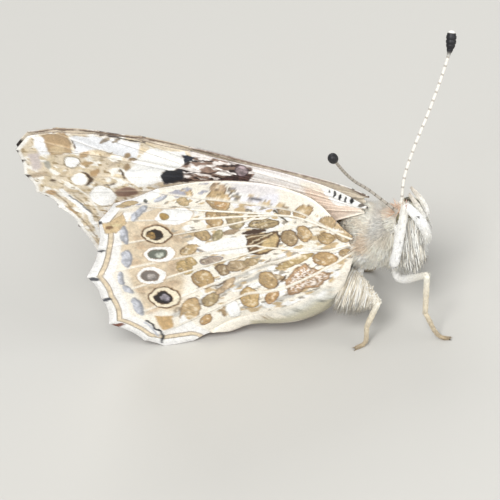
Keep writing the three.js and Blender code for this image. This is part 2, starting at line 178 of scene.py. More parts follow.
def abdomen_radius(along):
    front = smooth(along, -0.1, 0.3) * 0.35 + 0.65
    return ABDOMEN["radius"] * front * (1 - 0.78 * smooth(along, 0.45, 1.08) ** 1.15)


def sheet_side(wing, x, z):
    """How far the wing's sheet stands from the middle plane: it flares round the thorax and the abdomen."""
    turn = math.radians(THORAX["pitch"])
    ahead, above = x - THORAX["centre"][0], z - THORAX["centre"][2]
    along = ahead * math.cos(turn) + above * math.sin(turn)
    up = above * math.cos(turn) - ahead * math.sin(turn)
    nearness = np.hypot(along / (THORAX["length"] / 2), up / (THORAX["height"] / 2))
    flare = wing["spread"] * (1 - smooth(nearness, 0.8, 2.2))
    if wing is not HINDWING:
        return wing["layer"] + flare
    axis = abdomen_axis()
    share = (axis[0, 0] - x) / (axis[0, 0] - axis[-1, 0])
    radius = abdomen_radius(np.clip(share, 0, 1))
    level = np.interp(-x, -axis[:, 0], axis[:, 1])
    distance = np.abs(z - level) * math.cos(math.radians(ABDOMEN["pitch"]))
    bulge = (radius + 0.65 - wing["layer"]) * (1 - smooth(distance, 0.5 * radius, 2.2 * radius))
    bulge = np.maximum(bulge * (1 - smooth(share, 0.93, 1.15)), 0)
    return wing["layer"] + (flare ** 4 + bulge ** 4) ** 0.25


def flat_places(wing, places):
    """Where each place lies in the flat drawing of the pattern. Where the sheet leans out round the body the
    pattern slants down and forwards, so that it looks flat from above the animal's right."""
    lean = sheet_side(wing, *places.T) - wing["drawn_at"]
    return places - lean[:, None] * (0.361, 0.94)


def rounded(knots, rounds=2):
    """A line through its ends with its corners cut."""
    line = np.array(knots, dtype=float)
    for _ in range(rounds if len(line) > 2 else 0):
        quarter = line[:-1] * 0.75 + line[1:] * 0.25
        third = line[:-1] * 0.25 + line[1:] * 0.75
        line = np.vstack([line[:1], np.stack([quarter, third], axis=1).reshape(-1, 2)[1:-1], line[-1:]])
    return line


def wing_grid(wing):
    """Rows of places across the wing, each line's own column on its vein. Also which columns end the cells."""
    root = np.array(wing["root"])
    knots = [wing["front"]] + [path for path, _ in wing["veins"]] + [wing["back"]]
    dips = [0] + [dip for _, dip in wing["veins"]]
    lines = []
    for path in knots:
        line = rounded([root, *path], 3)
        marks = np.linspace(0, len(line) - 1, 40 * len(line))
        dense = np.stack([np.interp(marks, np.arange(len(line)), line[:, axis]) for axis in (0, 1)], axis=1)
        reach = np.maximum.accumulate(np.hypot(*(dense - root).T) + np.arange(len(dense)) * 1e-9)
        lines.append((reach, dense))
    shares = 0.035 + 0.965 * np.linspace(0, 1, wing["rows"] + 1) ** 0.9
    rows = np.empty((len(shares), len(lines), 2))
    for step, share in enumerate(shares):
        reaches = np.array([reach[-1] for reach, _ in lines]) * share
        spots = np.array([[np.interp(r, reach, dense[:, axis]) for axis in (0, 1)]
                          for r, (reach, dense) in zip(reaches, lines)])
        angles = np.arctan2(*(spots - root).T[::-1]) % (2 * math.pi)
        last = len(angles) - 1
        least = min(SHEET["closest"] / (reaches.max() * 0.8), 0.8 * (angles[-1] - angles[0]) / last)
        up = angles.copy()
        down = angles.copy()
        for place in range(1, last + 1):
            up[place] = max(up[place], up[place - 1] + least)
            down[last - place] = min(down[last - place], down[last - place + 1] - least)
        angles[1:-1] = ((up + down) / 2)[1:-1]
        rows[step] = root + reaches[:, None] * np.stack([np.cos(angles), np.sin(angles)], axis=1)
    columns, ends = [], [0]
    for cell in range(len(lines) - 1):
        first, second = rows[:, cell], rows[:, cell + 1]
        count = max(2, round(np.hypot(*(second[-1] - first[-1])) / wing["column"]))
        for step in range(count):
            across = step / count
            place = first + (second - first) * across
            dip = dips[cell] * shares ** 3 * math.sin(math.pi * across) / np.hypot(*(place - root).T)
            columns.append(place + (root - place) * dip[:, None])
        ends.append(len(columns))
    columns.append(rows[:, -1])
    return np.stack(columns, axis=1), ends


def line_distance(places, line):
    """Distance in the wing's plane from each place to a line of straight pieces."""
    nearest = np.full(len(places), 1e9)
    for start, end in zip(line[:-1], line[1:]):
        run = end - start
        share = np.clip(((places - start) @ run) / max(run @ run, 1e-12), 0, 1)
        nearest = np.minimum(nearest, np.hypot(*(places - start - share[:, None] * run).T))
    return nearest


def ripple(places, size, seed):
    """Soft noise from -1 to 1, one value for each place."""
    return np.array([noise.noise(Vector((x / size, z / size, seed))) for x, z in places]) * 1.6


class Canvas:
    """The colours of a wing's places, painted mark over mark with edges as ragged as rows of scales are."""

    def __init__(self, places, ground):
        self.places = places + 0.085 * np.stack([ripple(places, 0.7, 3.1), ripple(places, 0.7, 8.7)], axis=1)
        self.places += 0.045 * np.stack([ripple(places, 0.22, 5.3), ripple(places, 0.22, 1.9)], axis=1)
        self.grain = np.clip(ripple(places, 0.34, 6.4) + 0.6 * ripple(places, 0.15, 2.2), -1.4, 1.4)
        self.colours = np.tile(colour_of(ground), (len(places), 1))

    def lay(self, distance, code, soft=0.05, strength=1.0, mottle=0.04):
        share = ((1 - smooth(distance, -soft, soft)) * strength)[:, None]
        self.colours += (colour_of(code) * (1 + mottle * self.grain[:, None]) - self.colours) * share

    def oval(self, x, z, long, short, turn, code, rim=None, width=0.1, soft=0.05, mottle=0.04, strength=1.0):
        angle = math.radians(turn)
        offset = self.places - (x, z)
        along = offset @ (math.cos(angle), math.sin(angle)) / long
        across = offset @ (-math.sin(angle), math.cos(angle)) / short
        reach = np.hypot(along, across) + 1e-9
        distance = (reach - 1) * np.hypot(*offset.T) / reach
        if rim:
            self.lay(distance - width, rim, soft)
        self.lay(distance, code, soft, strength, mottle)

    def stroke(self, line, width, code, soft=0.05, strength=1.0):
        self.lay(line_distance(self.places, np.array(line, dtype=float)) - width / 2, code, soft, strength)

    def patch(self, corners, code, rim=None, width=0.1, soft=0.05, strength=1.0, mottle=0.04):
        ring = np.array(corners, dtype=float)
        x, z = self.places.T
        inside = np.zeros(len(x), dtype=bool)
        for (ax, az), (bx, bz) in zip(ring, np.roll(ring, -1, axis=0)):
            crosses = (az > z) != (bz > z)
            inside ^= crosses & (x < (bx - ax) * (z - az) / (bz - az + 1e-12) + ax)
        distance = line_distance(self.places, np.vstack([ring, ring[:1]])) * np.where(inside, -1, 1)
        if rim:
            self.lay(distance - width, rim, soft)
        self.lay(distance, code, soft, strength, mottle)

    def marble(self, corners, code, size, seed, low, high, turn=0, stretch=1):
        """Veins and clouds of one colour inside a patch, drawn out along one direction."""
        angle = math.radians(turn)
        frame = np.array([(math.cos(angle), -math.sin(angle)), (math.sin(angle), math.cos(angle))])
        veil = ripple(self.places @ frame / (stretch, 1), size, seed)
        self.patch(corners, code, soft=0.12, strength=smooth(veil, low, high), mottle=0.1)


CREAM, WHITE, UMBER, SEPIA = "FAF3E4", "FCFBF7", "4E3B28", "86694A"
LAVENDER, SLATE, OLIVE = "C2C4CB", "70727A", "96865F"


def paint_hindwing(canvas, edge, vein):
    """The underside's pattern, from the broad grounds to the eyespots. edge is the distance to the margin."""
    canvas.patch([(-14.6, 15.9), (-17.3, 15.6), (-19.0, 12.5), (-19.4, 9.0), (-19.2, 4.6), (-16.4, 3.9),
                  (-15.0, 7.0), (-14.9, 9.2), (-12.8, 10.0), (-12.9, 13.2)], "E0CEB2", soft=0.35, mottle=0.12)
    for x, z, long, short, turn in [
            (-15.4, 13.7, 1.6, 0.25, 5), (-17.4, 12.0, 0.4, 0.9, 0), (-14.2, 12.1, 0.6, 0.7, 20),
            (-14.9, 9.4, 1.0, 0.3, 10), (-18.4, 9.8, 0.5, 0.5, 0), (-16.0, 6.9, 0.7, 0.3, 20),
            (-15.6, 8.6, 0.4, 0.7, 0), (-18.8, 6.9, 0.4, 0.6, 10), (-18.6, 4.4, 0.7, 0.35, 20),
            (-16.9, 11.4, 1.2, 0.2, 0), (-17.0, 7.0, 1.4, 0.2, 8), (-15.2, 4.6, 0.5, 0.6, 30)]:
        canvas.oval(x, z, long, short, turn, "C9AF90", soft=0.25, mottle=0.2, strength=0.65)
    canvas.patch([(-5.0, 15.0), (-8.0, 15.7), (-8.4, 17.2), (-4.6, 16.2)], "EEE9E8", soft=0.3)
    canvas.patch([(-5.2, 13.0), (-8.6, 13.6), (-8.8, 15.4), (-4.8, 15.2)], "F1EFF4", soft=0.3)
    canvas.patch([(-3.3, 4.6), (-8.2, 2.9), (-8.4, 1.0), (-3.6, 1.0)], "DAD8CE", soft=0.12)
    canvas.patch([(-3.9, 3.05), (-8.0, 1.75), (-11.0, 1.75), (-11.2, 0.9), (-4.2, 1.0)], "CFC8AE", soft=0.12)
    for line in ([(-2.4, 8.6), (-13.0, 5.2)], [(-4.8, 8.0), (-17.0, 3.6)], [(-3.0, 5.4), (-9.5, 3.1)],
                 [(-6.0, 8.3), (-12.6, 6.0)]):
        canvas.stroke(line, 0.42, "BFBCB5", 0.16, 0.8)
    disc = [(0.5, 9.7), (-3.0, 13.0), (-8.0, 16.0), (-14.3, 16.4), (-14.6, 13.0), (-12.8, 9.6), (-15.2, 4.0),
            (-12.0, 2.2), (-4.0, 3.4)]
    canvas.marble(disc, WHITE, 0.6, 21.7, 0.0, 0.5, 12, 2)
    canvas.marble(disc, "CFB68E", 0.4, 15.3, 0.28, 0.6, 12, 2.2)
    canvas.marble(disc, "A9A092", 0.26, 18.1, 0.42, 0.72, 15, 3)
    # Blotches of the disc, each as centre, half length, half width, turn, fill, rim
    blotches = [
        (-12.1, 16.7, 0.5, 0.45, 0, "B99A6B", SEPIA), (-12.6, 15.9, 0.4, 0.42, 0, "C2A87E", OLIVE),
        (-12.1, 11.9, 0.58, 0.68, 0, "B4976A", SEPIA), (-13.6, 10.5, 0.9, 0.36, 20, "B4976A", SEPIA),
        (-12.2, 10.3, 0.7, 0.24, 0, "A69C9A", SLATE), (-14.6, 8.6, 0.62, 0.8, 0, "B99A60", OLIVE),
        (-13.9, 9.2, 0.4, 0.5, 0, "B99A60", OLIVE), (-12.2, 9.0, 1.0, 0.38, 8, "9E9090", SLATE),
        (-13.5, 7.0, 0.85, 0.98, 0, "B08C56", SEPIA), (-11.6, 7.7, 0.5, 0.65, 0, "7E6246", UMBER),
        (-10.4, 7.95, 0.9, 0.56, 10, "A48C70", SEPIA), (-9.1, 8.2, 0.55, 0.36, 10, "AA906C", OLIVE),
        (-13.5, 4.7, 0.85, 0.52, 35, "A08A62", SEPIA), (-11.9, 5.9, 1.2, 0.3, 36, "C2A88C", SEPIA),
        (-15.5, 3.9, 1.4, 0.75, 60, "C0A074", SEPIA), (-14.6, 2.5, 0.7, 0.36, 45, "B98C54", SEPIA),
        (-12.8, 3.2, 0.5, 0.2, 75, SEPIA, None), (-9.5, 16.7, 0.62, 0.5, 0, "C2A48A", SEPIA),
        (-8.45, 16.25, 0.32, 0.3, 0, "7C6C58", UMBER), (-9.75, 15.4, 0.9, 1.1, 0, "B99B70", SEPIA),
        (-9.75, 14.95, 0.5, 0.45, 0, "B5834A", None), (-8.25, 15.45, 0.28, 0.25, 0, "70675C", SLATE),
        (-7.7, 13.8, 0.3, 0.2, -20, SLATE, None), (-5.9, 14.0, 0.28, 0.2, -20, SLATE, None),
        (-10.7, 13.5, 0.62, 0.92, 0, "AC8A5A", SEPIA), (-9.75, 13.9, 0.6, 0.32, 0, "B99A70", SEPIA),
        (-9.1, 12.9, 0.7, 0.75, 0, "9C8E6E", SEPIA), (-7.6, 13.15, 0.4, 0.24, 0, OLIVE, SEPIA),
        (-6.95, 12.15, 1.25, 0.46, -6, "84704C", UMBER), (-5.3, 10.2, 0.66, 0.92, 0, "937652", UMBER),
        (-4.0, 10.4, 0.55, 0.9, 0, "BE9A68", SEPIA), (-10.9, 11.6, 0.7, 0.3, 50, "8C8664", OLIVE),
        (-9.7, 11.85, 0.7, 0.25, 8, "988070", OLIVE), (-5.6, 7.55, 1.8, 0.38, 17, "A1874F", SEPIA),
        (-3.1, 7.35, 0.95, 0.8, 0, "AC8450", SEPIA), (-8.3, 5.85, 0.72, 0.95, 0, "B08E5E", SEPIA),
        (-7.3, 6.0, 0.34, 0.5, 40, SEPIA, None), (-10.3, 4.3, 0.8, 1.1, 0, "C2A068", SEPIA),
        (-8.5, 4.0, 0.8, 0.42, 48, "B8854A", SEPIA), (-7.2, 14.9, 0.36, 0.14, -30, "8A8690", None),
        (-3.4, 12.9, 0.9, 0.6, 30, "B49468", SEPIA), (-1.8, 11.3, 0.8, 0.6, 30, "A98C66", SEPIA),
        (-4.9, 13.2, 0.5, 0.45, 30, "A89070", SEPIA), (-2.4, 9.6, 0.7, 0.6, 0, "B0905E", SEPIA),
        (-0.9, 9.6, 0.6, 0.7, 0, "C0A47C", SEPIA), (-1.2, 7.7, 0.6, 0.5, 0, "B49468", SEPIA),
    ]
    for x, z, long, short, turn, fill, rim in blotches:
        canvas.oval(x, z, long, short, turn, fill, "6E5840" if rim == SEPIA else rim, 0.07, 0.05, 0.25)
        canvas.oval(x, z, long * 0.92, short * 0.92, turn, "DDC69C", soft=0.12, strength=0.35)
        canvas.oval(x - long * 0.6, z, long * 0.35, short * 0.7, turn, "6E5840", soft=0.12,
                    strength=0.7 * smooth(canvas.grain, -0.3, 0.4))
        canvas.oval(x, z, long * 0.8, short * 0.8, turn, "F3E8CF", soft=0.12,
                    strength=0.6 * smooth(canvas.grain, 0.2, 0.9))
        canvas.oval(x - 0.1, z, long * 0.9, short * 0.85, turn, UMBER, soft=0.1,
                    strength=0.35 * smooth(-canvas.grain, 0.5, 1.0))
    canvas.patch([(-8.65, 11.1), (-6.1, 11.1), (-6.1, 10.3), (-6.6, 9.3), (-8.2, 8.9), (-9.0, 9.2)],
                 "6E5437", "3F2E20", 0.08, mottle=0.5)
    canvas.patch([(-7.4, 10.4), (-6.2, 10.9), (-6.2, 10.2), (-6.8, 9.3), (-8.2, 9.05)],
                 "CBB283", SEPIA, 0.04, 0.08, mottle=0.25)
    for line in ([(-8.7, 10.9), (-6.6, 11.0)], [(-8.6, 10.2), (-7.0, 10.9)], [(-8.7, 9.7), (-7.2, 10.4)]):
        canvas.stroke(line, 0.1, "E8D9B8", 0.04, 0.9)
    # The netted patch behind the body, pale flecks on brown
    canvas.patch([(-7.1, 4.1), (-6.9, 5.6), (-5.9, 6.5), (-4.8, 7.1), (-4.5, 6.5), (-3.2, 5.7), (-3.5, 5.1),
                  (-4.5, 4.5), (-5.6, 4.5), (-6.3, 4.0)], "AA8A68", "6E5640", 0.07, mottle=0.4)
    canvas.marble([(-6.9, 4.3), (-6.7, 5.4), (-5.8, 6.3), (-4.8, 6.9), (-4.6, 6.4), (-3.4, 5.6), (-3.6, 5.2),
                   (-4.5, 4.7), (-5.6, 4.7), (-6.3, 4.2)], "F2E6DA", 0.13, 12.5, -0.1, 0.25)
    canvas.patch([(-18.5, 3.8), (-17.0, 3.6), (-17.3, 2.6), (-17.9, 1.2), (-18.3, 1.2)],
                 "C9A878", soft=0.1, mottle=0.15)
    canvas.oval(-7.9, 11.45, 1.0, 0.22, 3, "4B3527", UMBER, 0.05)
    for line, width, code in [
            ([(-7.1, 15.0), (-6.1, 14.5)], 0.22, "6F6C72"), ([(-5.7, 13.4), (-5.0, 12.0)], 0.16, "57503F"),
            ([(-7.9, 5.0), (-6.7, 6.1)], 0.14, UMBER), ([(-12.6, 6.1), (-11.2, 6.7)], 0.1, UMBER),
            # The grey line from (-8.0, 1.75) to (-3.9, 3.05) is painted shade along the fold of the wing's
            # inner edge.
            ([(-8.0, 1.75), (-3.9, 3.05)], 0.12, "8D8D82"), ([(-11.0, 1.75), (-8.5, 1.75)], 0.12, "A08A68"),
            ([(-8.0, 12.15), (-5.9, 12.15)], 0.07, "CBB78C"), ([(-7.8, 12.35), (-6.2, 12.4)], 0.06, "3F2E20")]:
        canvas.stroke(line, width, code)
    canvas.oval(-12.0, 3.3, 0.6, 1.0, 0, WHITE, "B5AFA2", 0.06)
    for corners in [[(-13.0, 10.6), (-11.2, 11.1), (-8.8, 11.25), (-9.1, 9.2), (-12.0, 9.7)],
                    [(-17.8, 1.0), (-15.2, 1.2), (-16.2, 3.6)]]:
        canvas.patch(corners, WHITE, soft=0.08)
    # The front edge, white with grey streaks
    canvas.marble([(-8.0, 16.4), (-18.4, 15.9), (-18.6, 17.0), (-14.0, 17.8), (-8.0, 17.4)],
                  "A9A8B2", 0.3, 4.4, 0.1, 0.45, 175, 3)
    canvas.lay(vein - 0.16, "C2AC8C", 0.04, 0.3)
    canvas.lay(vein - 0.09, "FAF4E6", 0.04, 0.9)
    # The band between two dark lines along the margin, then the pale fringe with a dark tooth at each vein
    below = 1 - smooth(canvas.places[:, 1], 15.2, 15.8)
    canvas.lay(edge - 1.8, "FAF8F4", 0.12, 0.95 * below)
    canvas.lay(edge - 1.14, "83694E", 0.04, 0.8 * below)
    canvas.lay(edge - 1.05, "E6D5B8", 0.04, below, mottle=0.12)
    canvas.lay(edge - 0.74, "7A6B5A", 0.035, 0.9 * below)
    canvas.lay(edge - 0.66, WHITE, 0.04)
    canvas.lay(edge - 0.3, "EDEBE8", 0.15)
    canvas.patch([(-19.8, 13.7), (-19.7, 14.6), (-17.9, 15.2), (-17.9, 14.3), (-18.9, 13.5)],
                 "D6BD94", "A58A66", 0.05, mottle=0.2)
    for x, z, long, short, code in [(-19.3, 14.1, 0.3, 0.2, SEPIA), (-18.7, 14.25, 0.4, 0.14, "D8C79C"),
                                    (-20.0, 14.7, 0.3, 0.14, "4A4A4E"), (-20.7, 11.7, 0.38, 0.12, "4A4A4E"),
                                    (-22.25, 8.75, 0.5, 0.2, "55565A"), (-21.9, 6.25, 0.5, 0.16, "4E4F55"),
                                    (-21.75, 3.3, 0.55, 0.2, "7A4A38"), (-15.5, 16.5, 0.2, 0.2, "66665F")]:
        canvas.oval(x, z, long, short, 0, code)
    canvas.oval(-17.2, 16.35, 0.95, 0.26, 12, "C0AA84", SEPIA, 0.06)
    # Blue-grey lunules inside the margin band, dark on their inner sides
    for x, z, long, short, turn in [(-16.3, 15.45, 0.85, 0.26, 46), (-17.0, 14.9, 0.5, 0.2, 60),
                                    (-18.4, 13.0, 1.05, 0.28, 80), (-19.0, 10.4, 1.02, 0.36, 74),
                                    (-20.05, 8.4, 0.75, 0.2, 82), (-19.85, 7.1, 0.6, 0.22, 118),
                                    (-19.62, 5.0, 1.0, 0.3, 94), (-14.3, 16.55, 0.6, 0.16, 24)]:
        canvas.oval(x + 0.06, z, long, short * 1.2, turn, "96979C", soft=0.1)
        canvas.oval(x - 0.06, z, long * 0.9, short, turn, LAVENDER, soft=0.1, mottle=0.3)
    canvas.stroke([(-19.3, 3.4), (-18.95, 2.9), (-18.9, 2.3), (-18.5, 1.9), (-18.6, 1.2), (-18.9, 0.6)],
                  0.24, "24242B")
    canvas.stroke([(-19.5, 3.2), (-19.15, 2.4), (-18.95, 1.3)], 0.2, LAVENDER)
    # Five spots in a row: a plain white one at the front, then four with a pupil in a pale ring
    canvas.oval(-13.8, 14.4, 1.55, 0.95, 4, WHITE, "D9C3A8", 0.1, 0.08)
    canvas.oval(-14.6, 14.55, 0.4, 0.36, 0, "A88A55", OLIVE, 0.06, mottle=0.3)
    for x, z, long, short, rim, thick, ring, pupil, light in [
            (-15.75, 12.65, 1.12, 1.0, "5A3E25", 0.16, "F5E9CE", "241A12", (-0.32, -0.05, "B5925A")),
            (-16.2, 10.4, 1.3, 0.82, "D9C3A8", 0.08, WHITE, "6C7064", (0.1, -0.1, "B3B7AA")),
            (-17.5, 8.2, 1.2, 0.95, "D9C3A8", 0.08, WHITE, "7C736C", (0.1, -0.08, "ABA39D")),
            (-17.15, 5.6, 1.22, 1.05, "5A3E25", 0.16, "F5E9CE", "241C1A", (0.15, 0.0, "9B949C"))]:
        canvas.oval(x, z, long + thick, short + thick, 0, "A98A64", soft=0.05)
        canvas.oval(x, z, long, short, 0, ring, rim, thick * 0.7, 0.04)
        canvas.oval(x - 0.15, z, long * 0.6, short * 0.64, 0, pupil, "8A6A48", 0.05, 0.04)
        shift, rise, code = light
        canvas.oval(x - 0.15 + shift, z + rise, long * 0.3, short * 0.38, 0, code, soft=0.07, mottle=0.5)


def paint_upper(canvas, edge, wing):
    """The upper side, hidden while the wings are closed: orange with black marks, brown hair at the base."""
    canvas.oval(wing["root"][0] - 2, wing["root"][1], 7, 4, 0, "7A5A3C", soft=1.5)
    leading = [wing["root"], *wing["front"], *(path[-1] for path, _ in wing["veins"][:5])]
    canvas.lay(edge - 0.45, "E4DACB", 0.1)
    if wing is HINDWING:
        for x, z in [(-18.6, 13.0), (-19.2, 10.4), (-19.8, 7.6), (-19.8, 4.9), (-16.8, 12.4), (-17.4, 9.6),
                     (-17.8, 7.0), (-17.5, 4.4)]:
            canvas.oval(x, z, 0.55, 0.5, 0, "2B211C", soft=0.1)
    else:
        canvas.patch([(-11.5, 20.5), (-12.4, 17.4), (-16.6, 16.4), (-22.6, 12.0), (-26, 12), (-26, 26)],
                     "2B211C")
        for x, z, long, short in [(-13.6, 19.5, 0.7, 1.3), (-20.5, 21.1, 0.5, 0.5), (-20.4, 19.1, 0.5, 0.6),
                                  (-19.1, 17.0, 0.8, 0.9), (-17.5, 22.3, 0.9, 0.4)]:
            canvas.oval(x, z, long, short, 0, WHITE)
    canvas.stroke(leading, 2.2, "E6DAC6", soft=0.15)
    canvas.stroke(leading, 0.25, "7A6656", soft=0.1)


def wing_sheet(wing, paint, side, name, material, node):
    """The closed sheet: an outer and an inner face with the same triangles, joined round the rim."""
    grid, ends = wing_grid(wing)
    if side > 0:
        grid[:, :, 0] = wing["root"][0] + (grid[:, :, 0] - wing["root"][0]) * wing["left_reach"]
    steps, across = grid.shape[:2]
    places = grid.reshape(-1, 2)
    x, z = places.T
    vein = np.min([line_distance(places, rounded(line)) for line in wing["ridges"]], axis=0)
    first, last = (ends[place] for place in wing["outer"])
    edge = line_distance(places, grid[-1, first:last + 1])
    nudge = 0.05    # step over which the sheet's slope is measured
    slope_x = (sheet_side(wing, x + nudge, z) - sheet_side(wing, x - nudge, z)) / (2 * nudge)
    slope_z = (sheet_side(wing, x, z + nudge) - sheet_side(wing, x, z - nudge)) / (2 * nudge)
    normal = np.stack([-slope_x, np.ones(len(x)), -slope_z], axis=1)
    normal /= np.linalg.norm(normal, axis=1)[:, None]
    cell = np.searchsorted(ends, np.arange(across), side="right") - 1
    cell = np.minimum(cell, len(ends) - 2)
    part = (np.arange(across) - np.array(ends)[cell]) / np.diff(ends)[cell]
    depth = np.linspace(0, 1, steps)[:, None]
    fold = np.where(cell % 2, 1, -1) * np.sin(math.pi * part)
    pleat = fold[None, :] * SHEET["pleat"] * smooth(depth, 0.25, 0.7)
    pleat = (pleat + SHEET["wave"] * np.sin(depth * 9 + cell[None, :])).reshape(-1)
    ridge = SHEET["vein"] * smooth(-vein, -SHEET["vein_width"], 0)
    half = SHEET["rim"] + (SHEET["half"] - SHEET["rim"]) * smooth(edge, 0, 0.6)
    middle = np.stack([x, sheet_side(wing, x, z), z], axis=1) + normal * pleat[:, None]
    outer = middle + normal * (half + ridge)[:, None]
    inner = middle - normal * (half + ridge * 0.6)[:, None]
    points = np.vstack([outer, inner])
    points[:, 2] = np.maximum(points[:, 2], 0.01)
    points[:, 1] *= side

    at = (np.arange(steps - 1)[:, None] * across + np.arange(across - 1)).reshape(-1)
    under = steps * across
    faces = np.stack([at, at + 1, at + 1 + across, at + across], axis=1)
    backs = under + faces[:, ::-1]
    rim = np.concatenate([np.arange(across), (np.arange(1, steps) + 1) * across - 1,
                          steps * across - 1 - np.arange(1, across),
                          (steps - 1 - np.arange(1, steps - 1)) * across])
    after = np.roll(rim, -1)
    sides = np.stack([after, rim, under + rim, under + after], axis=1)
    faces = np.vstack([faces, backs, sides])
    if side < 0:
        faces = faces[:, ::-1]

    front = Canvas(flat_places(wing, places), CREAM)
    paint(front, edge, vein)
    hidden = Canvas(places, "C77A3E")
    paint_upper(hidden, edge, wing)
    colours = np.vstack([front.colours, hidden.colours])
    spread = (places - places.min(axis=0)) / (np.ptp(places, axis=0).max() * 2.05) + 0.005
    patches = np.vstack([spread, spread + (0.5, 0)])
    make_piece(name, points, faces, material, [node], colours, patches)


# Wing scales: flat plates of chitin about 0.1 by 0.05 mm set like roof tiles, so the wing is matt, with a
# faint sheen on the pale ones and a fine grain that breaks up each patch of colour.

def scale_material(name):
    material, tree = new_material(name)
    paint = add_node(tree, "ShaderNodeAttribute", {"attribute_name": "markings"})
    place = add_node(tree, "ShaderNodeTexCoord")
    tiles = add_node(tree, "ShaderNodeTexVoronoi", {"Scale": 9000, "Randomness": 0.9},
                     {"Vector": place.outputs["Object"]})
    mottle = add_node(tree, "ShaderNodeTexNoise", {"Scale": 2600, "Detail": 4, "Roughness": 0.65},
                      {"Vector": place.outputs["Object"]})
    grey = add_node(tree, "ShaderNodeSeparateColor", {}, {"Color": tiles.outputs["Color"]})
    shade = add_node(tree, "ShaderNodeMapRange", {"To Min": 0.88, "To Max": 1.06},
                     {"Value": grey.outputs["Red"]})
    patchy = add_node(tree, "ShaderNodeMapRange",
                      {"From Min": 0.3, "From Max": 0.7, "To Min": 0.9, "To Max": 1.05},
                      {"Value": mottle.outputs["Fac"]})
    both = add_node(tree, "ShaderNodeMath", {"operation": "MULTIPLY"},
                    {0: shade.outputs["Result"], 1: patchy.outputs["Result"]})
    tinted = add_node(tree, "ShaderNodeVectorMath", {"operation": "SCALE"},
                      {0: paint.outputs["Color"], "Scale": both.outputs["Value"]})
    bump = add_node(tree, "ShaderNodeBump", {"Strength": 0.35, "Distance": 0.00003},
                    {"Height": tiles.outputs["Distance"]})
    shader = add_node(tree, "ShaderNodeBsdfPrincipled",
                      {"Roughness": 0.72, "IOR": 1.5, "Sheen Weight": 0.12, "Sheen Roughness": 0.5},
                      {"Base Color": tinted.outputs["Vector"], "Normal": bump.outputs["Normal"]})
    add_node(tree, "ShaderNodeOutputMaterial", {}, {"Surface": shader.outputs["BSDF"]})
    return material


pale_scales = scale_material("wing_scales_pale")
for word, side in [("right", -1), ("left", 1)]:
    wing_sheet(HINDWING, paint_hindwing, side, f"hindwing_{word}_scaled", pale_scales,
               f"hindwing_{word}")


# Forewings
# They lie between the hindwings with their tips standing free. The underside of the tip is marbled like the
# hindwing, and the base of the front edge is white with black bars.

FOREWING = {
    "layer": 0.24, "spread": 0.4, "root": (2.0, 11.3), "rows": 230, "column": 0.11, "left_reach": 1.0,
    "drawn_at": 0.4,
    "front": [(0.0, 13.6), (-3.5, 16.0), (-7.2, 18.05), (-10.3, 19.9)],
    "veins": [
        ([(-11.0, 20.28)], 0), ([(-7.0, 16.2), (-14.6, 22.2)], 0), ([(-9.4, 17.3), (-17.9, 23.5)], 0),
        ([(-16.6, 20.6), (-20.9, 24.35)], 0), ([(-19.6, 22.0), (-23.3, 24.4)], 0),
        ([(-19.6, 21.9), (-24.6, 23.2)], 0.18), ([(-10.2, 17.1), (-24.75, 20.4)], 0.3),
        ([(-10.9, 16.0), (-24.4, 18.2)], 0.45), ([(-10.4, 14.5), (-23.1, 16.2)], 0.4),
        ([(-8.6, 13.6), (-22.1, 13.9)], 0.08), ([(-4.6, 12.6), (-21.4, 11.0)], 0.3), ([(-20.6, 8.3)], 0),
    ],
    "back": [(-1.2, 10.95), (-4.0, 10.05), (-8.0, 9.25), (-14.0, 8.5), (-19.9, 7.9)],
    "ridges": [
        [(2.0, 11.3), (-11.0, 20.28)], [(2.0, 11.3), (-7.0, 16.2), (-14.6, 22.2)],
        [(-9.4, 17.3), (-17.9, 23.5)],
        [(-9.4, 17.3), (-16.6, 20.6), (-20.9, 24.35)], [(-19.6, 22.0), (-23.3, 24.4)],
        [(-16.6, 20.6), (-19.6, 21.9), (-24.6, 23.2)], [(-10.2, 17.1), (-24.75, 20.4)],
        [(-10.9, 16.0), (-24.4, 18.2)], [(-10.4, 14.5), (-23.1, 16.2)], [(-8.6, 13.6), (-22.1, 13.9)],
        [(2.0, 11.3), (-4.6, 12.6), (-8.6, 13.6), (-10.4, 14.5)], [(-4.6, 12.6), (-21.4, 11.0)],
        [(2.0, 11.3), (-20.6, 8.3)],
    ],
    "outer": (5, 12),
}


